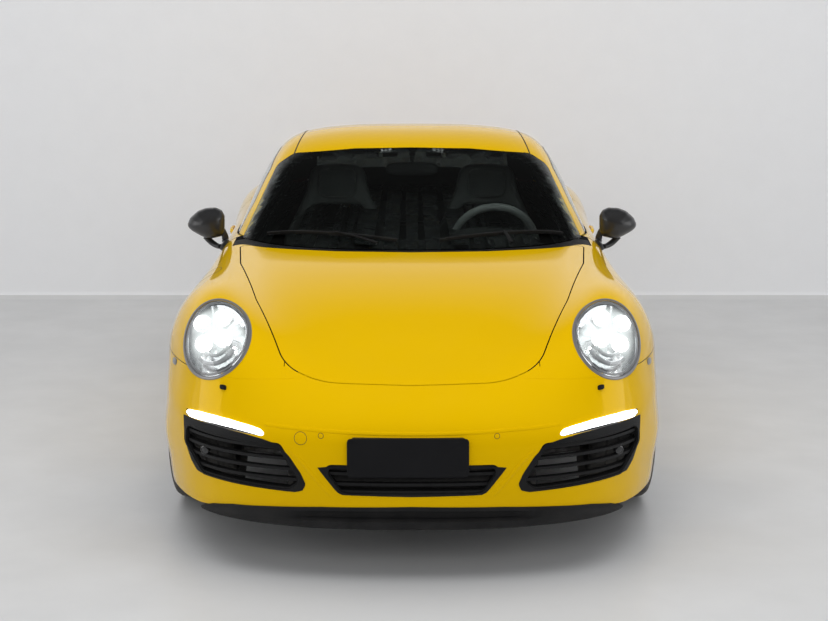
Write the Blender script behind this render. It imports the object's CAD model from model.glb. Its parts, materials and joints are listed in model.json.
import json
import math
import bpy
import bmesh
import numpy as np
from mathutils.bvhtree import BVHTree
from mathutils.kdtree import KDTree
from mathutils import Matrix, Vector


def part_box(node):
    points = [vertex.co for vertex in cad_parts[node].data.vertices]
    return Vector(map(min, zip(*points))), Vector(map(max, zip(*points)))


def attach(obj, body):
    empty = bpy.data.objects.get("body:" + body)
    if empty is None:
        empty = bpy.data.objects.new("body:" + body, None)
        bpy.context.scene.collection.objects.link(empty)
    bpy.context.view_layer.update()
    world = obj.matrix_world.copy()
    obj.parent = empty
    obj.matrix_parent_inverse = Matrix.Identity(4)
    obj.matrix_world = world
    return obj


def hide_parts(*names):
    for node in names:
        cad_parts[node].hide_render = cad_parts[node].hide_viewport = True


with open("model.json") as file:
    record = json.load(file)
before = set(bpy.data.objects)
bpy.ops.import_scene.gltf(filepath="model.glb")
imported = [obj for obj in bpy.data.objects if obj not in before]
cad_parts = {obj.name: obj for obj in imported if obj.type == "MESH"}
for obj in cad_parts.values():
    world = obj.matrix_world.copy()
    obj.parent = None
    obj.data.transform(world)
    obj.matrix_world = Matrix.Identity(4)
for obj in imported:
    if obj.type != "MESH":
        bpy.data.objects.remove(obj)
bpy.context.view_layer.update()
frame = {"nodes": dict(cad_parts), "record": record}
nodes = frame["nodes"]
bodyOf = {name: body for body, names in frame["record"]["behaviour"]["bodies"].items() for name in names}
frontLow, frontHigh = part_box("front_left_wheel")
rearLow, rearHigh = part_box("rear_left_wheel")
frontAxleY = (frontLow[1] + frontHigh[1]) / 2
rearAxleY = (rearLow[1] + rearHigh[1]) / 2


def station(s):
    # y of a place s metres behind the front axle
    return frontAxleY + s


# the body's two smooth skins
# every row is a line of control points from the middle of the car out to its lower edge, in millimetres
skinRows = {
    "nose": [(-962, -190, 835, 40, 40), (-1000, -180, 885, 190, 190), (-1022, -165, 908, 330, 320),
             (-1028, -150, 915, 435, 430), (-1020, -135, 917, 505, 495), (-965, -120, 915, 566, 556)],
    "body": [(-870, -110, 618, (500, 648), (665, 752), (805, 720), (895, 655), (908, 612), (910, 600)),
             (-700, -95, 668, (480, 715), (655, 872), (805, 818), (900, 705), (908, 632), (912, 612)),
             (-470, -80, 735, (500, 768), (665, 900), (822, 850), (905, 708), (912, 585), (914, 510)),
             (-200, -50, 800, (530, 815), (680, 897), (820, 850), (902, 708), (915, 470), (910, 300)),
             (100, 100, 848, (560, 850), (690, 888), (800, 862), (892, 715), (915, 400), (900, 60)),
             (350, 350, 872, (580, 872), (695, 886), (790, 868), (875, 735), (908, 400), (890, 60)),
             (600, 600, 890, (600, 892), (700, 897), (785, 882), (865, 745), (900, 400), (880, 60)),
             (900, 900, 905, (620, 908), (710, 910), (785, 896), (865, 745), (897, 400), (875, 60)),
             (1250, 1250, 915, (630, 915), (720, 916), (788, 903), (868, 755), (897, 400), (875, 60)),
             (1600, 1600, 922, (640, 925), (725, 926), (795, 912), (874, 765), (902, 410), (880, 60)),
             (1900, 1900, 935, (640, 942), (722, 944), (812, 926), (898, 785), (915, 430), (900, 60)),
             (2200, 2180, 950, (640, 962), (728, 956), (830, 922), (914, 785), (926, 450), (915, 60)),
             (2500, 2400, 955, (610, 955), (728, 940), (838, 903), (916, 775), (928, 450), (918, 140)),
             (2800, 2480, 930, (570, 925), (705, 912), (825, 872), (908, 755), (926, 520), (916, 330)),
             (3060, 2520, 885, (545, 880), (690, 865), (810, 820), (895, 722), (920, 590), (914, 510)),
             (3270, 2540, 842, (530, 838), (670, 815), (795, 775), (885, 700), (910, 632), (912, 612))],
    "tail": [(3400, 2560, 905, 790, 608), (3462, 2570, 910, 725, 562), (3505, 2580, 915, 640, 505),
             (3528, 2590, 915, 520, 450), (3530, 2600, 910, 400, 360), (3500, 2600, 890, 250, 240),
             (3440, 2600, 850, 80, 80)],
    "roof": [(230, 640, 762, (600, 762), (705, 762), (765, 762), (775, 740)),
             (520, 820, 930, (602, 925), (712, 900), (768, 850), (780, 720)),
             (750, 980, 1045, (578, 1032), (690, 990), (757, 890), (782, 720)),
             (985, 1150, 1156, (552, 1138), (655, 1085), (742, 935), (784, 720)),
             (1230, 1320, 1244, (532, 1222), (632, 1165), (732, 965), (786, 720)),
             (1480, 1500, 1292, (522, 1268), (624, 1200), (726, 985), (788, 720)),
             (1750, 1750, 1290, (515, 1264), (618, 1190), (722, 980), (784, 720)),
             (2020, 2020, 1240, (505, 1212), (600, 1125), (702, 952), (762, 720)),
             (2300, 2300, 1142, (500, 1106), (575, 1020), (660, 900), (715, 700)),
             (2600, 2600, 1015, (500, 984), (560, 905), (620, 800), (675, 640)),
             (2900, 2900, 880, (490, 855), (545, 785), (600, 690), (650, 560)),
             (3150, 3150, 765, (480, 740), (530, 675), (585, 590), (630, 480)),
             (3450, 3450, 620, (470, 600), (520, 545), (570, 470), (610, 380))]}
carSize = {"length": 4.527, "width": 1.808, "height": 1.285, "roofBase": 0.8, "sweepPower": 2.7}
levelSpread = np.array([0.0, 0.33, 0.56, 0.71, 0.83, 0.93, 0.985, 1.0])


def sweptBack(mid, side, xs):
    # a row's line in plan: a superellipse from mid on the centreline to side at its widest point
    widest = int(np.argmax(xs))
    share = np.clip(xs / xs.max(), 0, 1)
    share[widest:] = 1.0
    power = carSize["sweepPower"]
    return side - (side - mid) * (1 - share ** power) ** (1 / power)


def levelRow(mid, side, halfWidth, zMid, zSide):
    # a nearly level row: x spread to halfWidth, z = zMid + (zSide - zMid) * spread^2
    xs = levelSpread * halfWidth
    zs = zMid + (zSide - zMid) * levelSpread ** 2
    return np.column_stack([xs, sweptBack(mid, side, xs), zs])


def sectionRow(mid, side, zMid, *points):
    # a row through given (x, z) places, starting on the middle line
    xs = np.array([0.0, points[0][0] / 2] + [p[0] for p in points])
    zs = np.array([zMid, zMid] + [p[1] for p in points])
    return np.column_stack([xs, sweptBack(mid, side, xs), zs])


def splineBasis(count, t):
    # clamped uniform cubic B-spline weights of count control points, by the Cox-de Boor rule
    knots = np.concatenate([np.zeros(3), np.linspace(0, 1, count - 2), np.ones(3)])
    t = np.clip(t, 0, 1 - 1e-12)[:, None]
    weights = ((t >= knots[None, :-1]) & (t < knots[None, 1:])).astype(float)
    for degree in (1, 2, 3):
        left = knots[degree:-1] - knots[:-degree - 1]
        right = knots[degree + 1:] - knots[1:-degree]
        rising = np.where(left > 0, (t - knots[:-degree - 1]) / np.where(left > 0, left, 1), 0)
        falling = np.where(right > 0, (knots[degree + 1:] - t) / np.where(right > 0, right, 1), 0)
        weights = rising * weights[:, :-1] + falling * weights[:, 1:]
    return weights


def skinAt(net, u, v):
    # points and outward normals of a skin at paired parameters, tensor product of two spline bases
    def at(uu, vv):
        return np.einsum("ni,ijk,nj->nk", splineBasis(net.shape[0], uu), net, splineBasis(net.shape[1], vv))
    step = 1e-4
    along = (at(u + step, v) - at(u - step, v)) / (2 * step)
    across = (at(u, v + step) - at(u, v - step)) / (2 * step)
    normal = np.cross(across, along)
    return at(u, v), normal / np.linalg.norm(normal, axis=1, keepdims=True), along, across


def makeSkin(rows, isBody):
    # the control net is scaled so that the skin has the car's exact length and width, or its height
    half = np.array(rows) / 1000
    half[..., 1] += frontAxleY
    uGrid, vGrid = np.meshgrid(np.linspace(0.001, 0.999, 150), np.linspace(0.001, 0.999, 181), indexing="ij")
    mirror = half[:, :0:-1] * (-1, 1, 1)
    points = skinAt(np.concatenate([mirror, half], axis=1), uGrid.ravel(), vGrid.ravel())[0]
    if isBody:
        low, high = points[:, 1].min(), points[:, 1].max()
        half[..., 1] = -carSize["length"] / 2 + (half[..., 1] - low) * carSize["length"] / (high - low)
        half[..., 0] *= carSize["width"] / 2 / points[:, 0].max()
    else:
        base = carSize["roofBase"]
        half[..., 2] = base + (half[..., 2] - base) * (carSize["height"] - base) / (points[:, 2].max() - base)
    net = np.concatenate([half[:, :0:-1] * (-1, 1, 1), half], axis=1)
    points, normals = skinAt(net, uGrid.ravel(), vGrid.ravel())[:2]
    return {"net": net, "u": uGrid.ravel(), "v": vGrid.ravel(), "points": points, "normals": normals}


bodyRows = [levelRow(*r) for r in skinRows["nose"]] + [sectionRow(*r) for r in skinRows["body"]]
bodyRows += [levelRow(*r) for r in skinRows["tail"]]
skins = {"body": makeSkin(bodyRows, True), "roof": makeSkin([sectionRow(*r) for r in skinRows["roof"]], False)}


def treeOf(points):
    # a search tree of places
    tree = KDTree(len(points))
    for i, p in enumerate(points):
        tree.insert(p, i)
    tree.balance()
    return tree


for skin in skins.values():
    skin["tree"] = treeOf(skin["points"])


def footOn(which, points):
    # nearest place on a skin: nearest sample first, then Gauss-Newton steps on both parameters
    skin = skins[which]
    start = np.array([skin["tree"].find(p)[1] for p in points])
    u, v = skin["u"][start], skin["v"][start]
    for _ in range(4):
        at, _, along, across = skinAt(skin["net"], u, v)
        jacobian = np.stack([along, across], axis=2)
        square = np.einsum("nki,nkj->nij", jacobian, jacobian) + np.eye(2) * 1e-12
        move = np.linalg.solve(square, np.einsum("nki,nk->ni", jacobian, points - at)[..., None])[..., 0]
        u, v = np.clip(u + move[:, 0], 0, 1), np.clip(v + move[:, 1], 0, 1)
    return skinAt(skin["net"], u, v)[:2]


def dropOn(view, flat, lift=0.0):
    # places on a skin whose distances along two directions are flat's, on the side that faces the view,
    # found by Newton steps on both parameters and lifted along the skin's normal
    which, across, up, facing = view
    skin = skins[which]
    directions = np.array([across, up], float)
    seen = np.where(skin["normals"] @ np.array(facing, float) > 0.12)[0]
    shadow = skin["points"][seen] @ directions.T
    tree = treeOf(np.column_stack([shadow, np.zeros(len(seen))]))
    start = seen[[tree.find((a, b, 0))[1] for a, b in flat]]
    u, v = skin["u"][start], skin["v"][start]
    for _ in range(7):
        at, _, along, sideways = skinAt(skin["net"], u, v)
        jacobian = np.stack([along @ directions.T, sideways @ directions.T], axis=2)
        gap = np.asarray(flat) - at @ directions.T
        move = np.linalg.solve(jacobian + np.eye(2) * 1e-9, gap[..., None])[..., 0]
        u, v = np.clip(u + np.clip(move[:, 0], -.02, .02), 0, 1), np.clip(v + np.clip(move[:, 1], -.02, .02), 0, 1)
    at, normal = skinAt(skin["net"], u, v)[:2]
    return at + lift * normal, normal


print("skins ready")


# shader nodes in few words
def addNode(tree, kind, inputs=None, **settings):
    # one node; each of its named or numbered inputs gets a link, if a socket is given, or else a value
    node = tree.nodes.new("ShaderNode" + kind)
    for name, value in settings.items():
        setattr(node, name, value)
    for name, value in (inputs or {}).items():
        if hasattr(value, "is_linked"):
            tree.links.new(value, node.inputs[name])
        else:
            node.inputs[name].default_value = value
    return node


def maths(tree, operation, first, second, clamp=False):
    # a number worked out from two others
    return addNode(tree, "Math", {0: first, 1: second}, operation=operation, use_clamp=clamp).outputs[0]


def remap(tree, value, low, high, toLow=0.0, toHigh=1.0):
    # a value carried from one range to another, cut off at its ends
    return addNode(tree, "MapRange", {"Value": value, "From Min": low, "From Max": high, "To Min": toLow,
                                      "To Max": toHigh}).outputs[0]


def noiseOf(tree, coordinates, scale, detail=3.0, roughness=0.55):
    # cloudy noise on the given coordinates
    return addNode(tree, "TexNoise", {"Vector": coordinates, "Scale": scale, "Detail": detail,
                                      "Roughness": roughness}).outputs["Fac"]


def tinted(tree, mask, first, second):
    # a colour between two others, by a mask
    return addNode(tree, "Mix", {"Factor": mask, "A": first, "B": second}, data_type="RGBA").outputs["Result"]


def shaderBetween(tree, share, first, second):
    # the first shader where the share is 0, the second where it is 1
    return addNode(tree, "MixShader", {"Fac": share, 1: first.outputs[0], 2: second.outputs[0]}).outputs[0]


# camera, lamps and air
studio = {"cameraPlace": (0, -7.65, 1.95), "cameraTilt": 79.1, "lens": 75.0, "shift": 0.0024, "sensor": 36,
          "wallY": 2.86, "halfWidth": 14.0, "floorFront": -12.0, "wallTop": 2.05, "cove": 0.05, "floorLevel": 0.02,
          "softboxes": [("ceilingSoftbox", (0, -1.9, 5.2), (0, -1.2, 0), (7.5, 5.5), 222, False),
                        ("frontSoftbox", (0, -8.5, 3.6), (0, -1.0, 0.6), (7.0, 2.4), 128, False),
                        ("leftSoftbox", (6.0, -2.6, 1.7), (0, -0.8, 0.6), (4.5, 2.6), 55, True),
                        ("rightSoftbox", (-6.0, -2.6, 1.7), (0, -0.8, 0.6), (4.5, 2.6), 55, True)],
          "airColour": (0.93, 0.95, 1.0, 1), "airStrength": 0.42, "seenFront": (0.05, 0.05, 0.05, 1),
          "seenHeights": [(0.24, (0.74, 0.74, 0.745, 1)), (0.62, (0.03, 0.03, 0.03, 1))]}
cameraData = bpy.data.cameras.new("camera")
cameraData.lens = studio["lens"]
cameraData.sensor_width = studio["sensor"]
cameraData.shift_x = studio["shift"]
camera = bpy.data.objects.new("camera", cameraData)
camera.location = studio["cameraPlace"]
camera.rotation_euler = (math.radians(studio["cameraTilt"]), 0, 0)
bpy.context.scene.collection.objects.link(camera)
bpy.context.scene.camera = camera
bpy.context.scene.view_settings.view_transform = "Standard"


def addLight(name, place, aim, size, power, inGloss):
    # a rectangular lamp that looks at its aim and hides from the camera
    data = bpy.data.lights.new(name, "AREA")
    data.shape = "RECTANGLE"
    data.size, data.size_y = size
    data.energy = power
    light = bpy.data.objects.new(name, data)
    light.location = place
    direction = np.array(aim, float) - np.array(place, float)
    yaw = math.atan2(direction[0], -direction[1])
    tilt = math.atan2(math.hypot(direction[0], direction[1]), -direction[2])
    light.rotation_euler = (tilt, 0, math.pi + yaw)
    light.visible_camera = False
    light.visible_glossy = inGloss
    bpy.context.scene.collection.objects.link(light)


for softbox in studio["softboxes"]:
    addLight(*softbox)

world = bpy.data.worlds.new("studioAir")
world.use_nodes = True
bpy.context.scene.world = world
air = world.node_tree
air.nodes.clear()
# what the camera and reflections see: pale low down behind the car, dark above and in front
heading = addNode(air, "SeparateXYZ", {0: addNode(air, "TexCoord").outputs["Generated"]}).outputs
heights = addNode(air, "ValToRGB", {"Fac": heading["Z"]})
for element, (position, grey) in zip(heights.color_ramp.elements, studio["seenHeights"]):
    element.position, element.color = position, grey
ahead = remap(air, heading["Y"], -0.75, -0.15)
seenAir = tinted(air, ahead, studio["seenFront"], heights.outputs["Color"])
path = addNode(air, "LightPath").outputs
seen = maths(air, "MAXIMUM", path["Is Camera Ray"], path["Is Glossy Ray"])
seen = maths(air, "MAXIMUM", seen, path["Is Transmission Ray"])
plainAir = addNode(air, "Background", {"Color": studio["airColour"], "Strength": studio["airStrength"]})
backdrop = addNode(air, "Background", {"Color": seenAir, "Strength": 1.0})
addNode(air, "OutputWorld", {"Surface": shaderBetween(air, seen, plainAir, backdrop)})


# shader groups: each puts out masks and heights only
def newGroup(name, inputs, outputs):
    # an empty group: its tree, its input sockets, its outputs' inner sockets and the object coordinates
    group = bpy.data.node_groups.new(name, "ShaderNodeTree")
    for label, value in inputs.items():
        socket = group.interface.new_socket(name=label, in_out="INPUT", socket_type="NodeSocketFloat")
        socket.default_value = value
    for label in outputs:
        group.interface.new_socket(name=label, in_out="OUTPUT", socket_type="NodeSocketFloat")
    given = group.nodes.new("NodeGroupInput").outputs
    return group, given, group.nodes.new("NodeGroupOutput").inputs, addNode(group, "TexCoord").outputs["Object"]


def buildGrain():
    # moulded or tanned grain: cell edges of a Voronoi pattern, broken up by fine noise
    group, given, out, where = newGroup("mouldedGrain", {"Scale": 300, "Break-up": 0.5}, ("Mask", "Height"))
    cells = addNode(group, "TexVoronoi", {"Vector": where, "Scale": given["Scale"]}, feature="DISTANCE_TO_EDGE")
    edges = remap(group, cells.outputs["Distance"], 0.0, 0.25)
    fine = noiseOf(group, where, maths(group, "MULTIPLY", given["Scale"], 2.2), 4.0)
    wide = noiseOf(group, where, 7.0)
    broken = maths(group, "MULTIPLY", fine, given["Break-up"])
    group.links.new(maths(group, "ADD", edges, broken), out["Height"])
    group.links.new(remap(group, maths(group, "ADD", fine, wide), 0.75, 1.3), out["Mask"])
    return group


def buildPeel():
    # sprayed surface: very shallow waves about a centimetre long, and a wide cloudiness
    group, given, out, where = newGroup("sprayedPeel", {"Scale": 110}, ("Mask", "Height"))
    group.links.new(noiseOf(group, where, given["Scale"], 1.0), out["Height"])
    group.links.new(noiseOf(group, where, 3.0, 4.0), out["Mask"])
    return group


def buildDust():
    # settled dust: lies on what faces up and near the ground, in patches
    group, given, out, where = newGroup("settledDust", {"Amount": 0.2, "Ground": 0.35}, ("Mask",))
    facing = addNode(group, "SeparateXYZ", {0: addNode(group, "NewGeometry").outputs["Normal"]})
    level = addNode(group, "SeparateXYZ", {0: where})
    upward = remap(group, facing.outputs["Z"], 0.2, 1.0, 0.0, 0.35)
    low = remap(group, level.outputs["Z"], given["Ground"], 0.0)
    patches = remap(group, noiseOf(group, where, 9.0, 6.0, 0.65), 0.35, 0.75)
    both = maths(group, "MULTIPLY", maths(group, "MAXIMUM", upward, low), patches)
    group.links.new(maths(group, "MULTIPLY", both, given["Amount"], True), out["Mask"])
    return group


def buildBrush():
    # turned or brushed metal: noise drawn out along the car's cross direction
    group, given, out, where = newGroup("brushedLines", {"Scale": 60, "Length": 0.04}, ("Mask", "Height"))
    drawn = addNode(group, "CombineXYZ", {"X": given["Length"], "Y": 1.0, "Z": 1.0}).outputs[0]
    stretched = addNode(group, "VectorMath", {0: where, 1: drawn}, operation="MULTIPLY").outputs[0]
    lines = noiseOf(group, stretched, maths(group, "MULTIPLY", given["Scale"], 12.0), 2.0)
    for label in ("Height", "Mask"):
        group.links.new(lines, out[label])
    return group


def buildWear():
    # rubbed edges: the mesh's own pointiness, broken by noise
    group, given, out, where = newGroup("rubbedEdges", {"Amount": 0.5, "Reach": 0.56}, ("Mask",))
    pointiness = addNode(group, "NewGeometry").outputs["Pointiness"]
    pointed = remap(group, pointiness, 0.505, given["Reach"])
    broken = remap(group, noiseOf(group, where, 45.0, 5.0), 0.35, 0.65)
    worn = maths(group, "MULTIPLY", pointed, broken)
    group.links.new(maths(group, "MULTIPLY", worn, given["Amount"], True), out["Mask"])
    return group


shaderGroups = {"grain": buildGrain(), "peel": buildPeel(), "brush": buildBrush(), "dust": buildDust(),
                "wear": buildWear()}
dustLook = {"colour": (0.42, 0.39, 0.34), "rough": 0.9}
glassLook = {"ior": 1.45, "dust": 0.04}
wornRough, coatRough = 0.35, 0.03


def newMaterial(name, values):
    # a material with node values set on its Principled shader
    material = bpy.data.materials.new(name)
    material.use_nodes = True
    shader = material.node_tree.nodes["Principled BSDF"]
    for label, value in values.items():
        shader.inputs[label].default_value = value
    return material, material.node_tree, shader


def finish(name, base, second, rough=0.4, roughSpread=0.08, metal=0.0, coat=0.0, texture="grain", scale=300.0,
           relief=0.0, distance=0.0006, dust=0.0, wear=0.0, wornColour=(0.5, 0.5, 0.5), glow=None, sheen=0.0,
           gloss=(1, 1, 1), shine=0.5):
    # a Principled finish whose two colours, roughness and relief follow the groups' masks
    material, tree, shader = newMaterial(name, {
        "Metallic": metal, "Coat Weight": coat, "Coat Roughness": coatRough, "Sheen Weight": sheen,
        "Specular Tint": (*gloss, 1), "Specular IOR Level": shine})
    pattern = addNode(tree, "Group", {"Scale": scale}, node_tree=shaderGroups[texture])
    mask = pattern.outputs["Mask"]
    colour = tinted(tree, mask, (*base, 1), (*second, 1))
    roughness = remap(tree, mask, 0.2, 0.8, rough, rough + roughSpread)
    for layer, amount, tint, roughTo in (("wear", wear, wornColour, wornRough),
                                         ("dust", dust, dustLook["colour"], dustLook["rough"])):
        if amount > 0:
            cover = addNode(tree, "Group", {"Amount": amount}, node_tree=shaderGroups[layer]).outputs["Mask"]
            colour = tinted(tree, cover, colour, (*tint, 1))
            roughness = addNode(tree, "Mix", {"Factor": cover, "A": roughness, "B": roughTo}).outputs["Result"]
    tree.links.new(colour, shader.inputs["Base Color"])
    tree.links.new(roughness, shader.inputs["Roughness"])
    if relief > 0:
        bump = addNode(tree, "Bump", {"Strength": relief, "Distance": distance,
                                      "Height": pattern.outputs["Height"]})
        tree.links.new(bump.outputs["Normal"], shader.inputs["Normal"])
    if glow:
        shader.inputs["Emission Strength"].default_value = glow[1]
        bright = tinted(tree, mask, (*glow[0], 1), (*[c * 0.9 for c in glow[0]], 1))
        tree.links.new(bright, shader.inputs["Emission Color"])
    return material


def clearGlass(name, tint, second):
    # thin solid glass: full transmission, two close tints and a trace of dust in its roughness
    material, tree, shader = newMaterial(name, {"Transmission Weight": 1.0, "IOR": glassLook["ior"]})
    pattern = addNode(tree, "Group", node_tree=shaderGroups["peel"])
    colour = tinted(tree, pattern.outputs["Mask"], (*tint, 1), (*second, 1))
    tree.links.new(colour, shader.inputs["Base Color"])
    settled = addNode(tree, "Group", {"Amount": glassLook["dust"]}, node_tree=shaderGroups["dust"])
    tree.links.new(settled.outputs["Mask"], shader.inputs["Roughness"])
    # light reaches what stands behind the glass
    through = addNode(tree, "BsdfTransparent", {"Color": colour})
    shadowRay = addNode(tree, "LightPath").outputs["Is Shadow Ray"]
    tree.links.new(shaderBetween(tree, shadowRay, shader, through), tree.nodes["Material Output"].inputs["Surface"])
    return material


def glareFinish(name, colour, strength):
    # a glow whose strength and cover are stored on the piece's points
    material = finish(name, (0, 0, 0), (0.001, 0.001, 0.001), 0.5, 0.1, texture="peel", scale=300, shine=0.0)
    tree = material.node_tree
    shader = tree.nodes["Principled BSDF"]
    shader.inputs["Emission Color"].default_value = (*colour, 1)
    shader.inputs["Emission Strength"].default_value = strength
    stored = addNode(tree, "Attribute", attribute_name="glare")
    tree.links.new(stored.outputs["Fac"], shader.inputs["Alpha"])
    return material


finishes = {
    "paint": finish("yellowPaint", (0.735, 0.445, 0.0006), (0.715, 0.43, 0.0006), 0.045, 0.02, texture="peel",
                    scale=90,
                    relief=0.05, distance=0.0002, dust=0.015, gloss=(1.0, 0.66, 0.03)),
    "cabinSkin": finish("cabinLining", (0.012, 0.012, 0.0125), (0.018, 0.018, 0.0185), 0.85, 0.1, scale=700,
                        relief=0.4,
                        shine=0.2),
    "trim": finish("blackTrim", (0.007, 0.007, 0.0075), (0.013, 0.013, 0.0135), 0.42, 0.15, scale=900, relief=0.25,
                   dust=0.05, wear=0.15, wornColour=(0.03, 0.03, 0.03), shine=0.16),
    "glossBlack": finish("glossBlack", (0.008, 0.008, 0.009), (0.014, 0.014, 0.015), 0.12, 0.08, coat=0.6,
                         texture="peel", scale=120, relief=0.03, dust=0.1),
    "mirrorShell": finish("mirrorShell", (0.016, 0.016, 0.017), (0.022, 0.022, 0.023), 0.32, 0.1, coat=0.25,
                          texture="peel",
                          scale=160, relief=0.05, dust=0.05),
    "rubber": finish("sealRubber", (0.012, 0.012, 0.012), (0.02, 0.02, 0.02), 0.6, 0.2, scale=500, relief=0.2,
                     dust=0.3),
    "frit": finish("glassBorder", (0.004, 0.004, 0.0045), (0.007, 0.007, 0.0075), 0.25, 0.1, scale=1500,
                   relief=0.05, shine=0.2),
    "tyre": finish("tyreRubber", (0.016, 0.016, 0.016), (0.03, 0.029, 0.028), 0.62, 0.2, scale=420, relief=0.35,
                   dust=0.5, wear=0.3, wornColour=(0.07, 0.068, 0.065)),
    "alloy": finish("darkAlloy", (0.10, 0.10, 0.105), (0.14, 0.14, 0.145), 0.28, 0.1, metal=0.9, coat=0.5,
                    texture="peel", scale=150, relief=0.04, dust=0.3),
    "disc": finish("discIron", (0.38, 0.37, 0.36), (0.27, 0.26, 0.26), 0.3, 0.15, metal=1.0, texture="brush",
                   scale=60,
                   relief=0.3, dust=0.15),
    "caliper": finish("caliperPaint", (0.5, 0.5, 0.52), (0.42, 0.42, 0.44), 0.3, 0.1, coat=0.5, texture="peel",
                      scale=200, relief=0.1, dust=0.3),
    "axle": finish("axleSteel", (0.09, 0.09, 0.095), (0.16, 0.15, 0.14), 0.5, 0.25, metal=0.7, scale=160,
                   relief=0.4,
                   dust=0.6, wear=0.4),
    "underbody": finish("underbody", (0.03, 0.03, 0.031), (0.05, 0.048, 0.045), 0.7, 0.2, scale=220, relief=0.5,
                        dust=0.7),
    "engine": finish("castEngine", (0.38, 0.38, 0.39), (0.26, 0.26, 0.27), 0.45, 0.2, metal=0.8, scale=260,
                     relief=0.5,
                     dust=0.4),
    "chrome": finish("lampChrome", (0.86, 0.87, 0.88), (0.78, 0.79, 0.80), 0.08, 0.08, metal=1.0, texture="brush",
                     scale=25, relief=0.05),
    "steel": finish("polishedSteel", (0.72, 0.71, 0.70), (0.62, 0.61, 0.60), 0.16, 0.12, metal=1.0, texture="brush",
                    scale=40, relief=0.08, dust=0.2),
    "greyRing": finish("lampRing", (0.22, 0.22, 0.225), (0.27, 0.27, 0.275), 0.3, 0.1, metal=0.5, coat=0.4,
                       texture="peel",
                       scale=160, relief=0.05),
    "leather": finish("seatLeather", (0.072, 0.072, 0.073), (0.092, 0.092, 0.094), 0.48, 0.15, scale=520,
                      relief=0.5,
                      distance=0.0004, sheen=0.05, shine=0.35),
    "cloth": finish("seatCloth", (0.045, 0.045, 0.046), (0.065, 0.065, 0.067), 0.85, 0.1, scale=1100, relief=0.7,
                    sheen=0.3),
    "dash": finish("dashTrim", (0.007, 0.007, 0.0075), (0.011, 0.011, 0.0115), 0.6, 0.15, scale=620, relief=0.5,
                   shine=0.12),
    "redLamp": finish("redLamp", (0.42, 0.006, 0.006), (0.32, 0.004, 0.004), 0.1, 0.08, coat=1.0, texture="peel",
                      scale=300, relief=0.1, glow=((1.0, 0.03, 0.02), 0.25)),
    "daylight": finish("daylightBar", (0.95, 0.96, 1.0), (0.9, 0.92, 0.97), 0.2, 0.1, texture="peel", scale=400,
                       relief=0.05, glow=((0.97, 0.985, 1.0), 3.2)),
    "ledGlow": finish("ledGlow", (1.0, 1.0, 1.0), (0.9, 0.95, 1.0), 0.2, 0.1, texture="peel", scale=400,
                      glow=((0.95, 0.98, 1.0), 14.0)),
    "plate": finish("blankPlate", (0.007, 0.007, 0.008), (0.010, 0.010, 0.011), 0.35, 0.12, scale=800, relief=0.06,
                    dust=0.02, shine=0.12),
    "glass": clearGlass("windowGlass", (0.80, 0.86, 0.83), (0.76, 0.83, 0.80)),
    "darkGlass": clearGlass("tintedGlass", (0.05, 0.056, 0.054), (0.04, 0.046, 0.044)),
    "lens": clearGlass("lampLens", (0.97, 0.98, 0.99), (0.94, 0.96, 0.97)),
    "wall": finish("studioWall", (0.84, 0.845, 0.855), (0.82, 0.825, 0.835), 0.9, 0.05, scale=90, relief=0.05),
    "floor": finish("studioFloor", (0.64, 0.64, 0.635), (0.57, 0.57, 0.565), 0.32, 0.22, texture="peel", scale=5,
                    relief=0.02),
    "mirrorFace": finish("mirrorFace", (0.75, 0.77, 0.78), (0.7, 0.72, 0.73), 0.03, 0.03, metal=1.0, texture="peel",
                        scale=60)}
finishes["glare"] = glareFinish("lampGlare", (0.92, 0.98, 0.96), 1.35)
print("finishes ready")


# pieces
def newPiece(name, points, faces, finishName, body="shell", slot="black_trim", replaced=(), sharp=None):
    # a mesh with merged doubles and outward faces that rides a body; the studio's sheet has none and is flat
    mesh = bpy.data.meshes.new(name)
    mesh.from_pydata([tuple(p) for p in points], [], [tuple(int(i) for i in f) for f in faces])
    work = bmesh.new()
    work.from_mesh(mesh)
    bmesh.ops.remove_doubles(work, verts=work.verts, dist=1e-6)
    bmesh.ops.recalc_face_normals(work, faces=work.faces)
    work.to_mesh(mesh)
    work.free()
    mesh.polygons.foreach_set("use_smooth", np.full(len(mesh.polygons), body is not None))
    if sharp:
        mesh.set_sharp_from_angle(angle=math.radians(sharp))
    mesh.materials.append(finishes[finishName])
    piece = bpy.data.objects.new(name, mesh)
    bpy.context.scene.collection.objects.link(piece)
    if body is None:
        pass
    else:
        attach(piece, body)
        if replaced:
            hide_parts(*replaced)
    return piece


def gridFaces(rows, columns, closedRows=False, closedColumns=False):
    # quads between neighbouring points of a grid that is stored row by row
    i = np.arange(rows if closedRows else rows - 1)
    j = np.arange(columns if closedColumns else columns - 1)
    i, j = (a.ravel() for a in np.meshgrid(i, j, indexing="ij"))
    k, l = (i + 1) % rows, (j + 1) % columns
    return np.column_stack([i * columns + j, k * columns + j, k * columns + l, i * columns + l]).tolist()


def capped(rings, steps):
    # quads along a row of closed rings, and one face over each end
    last = (rings - 1) * steps
    return gridFaces(rings, steps, False, True) + [list(range(steps))[::-1], [last + k for k in range(steps)]]


def merged(*parts):
    # several (points, faces) surfaces as one
    points, faces, count = [], [], 0
    for part, links in parts:
        points.append(np.asarray(part).reshape(-1, 3))
        faces += [[k + count for k in f] for f in links]
        count += len(points[-1])
    return np.concatenate(points), faces


def flippedX(part):
    # the mirror image of a surface across the car's middle plane
    points, faces = part
    return np.asarray(points).reshape(-1, 3) * (-1, 1, 1), [f[::-1] for f in faces]


def pairOf(*parts):
    # the parts and their mirror images as one
    return merged(*parts, *[flippedX(part) for part in parts])


bothSidesOfCar = (("left", lambda part: part), ("right", flippedX))


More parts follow.
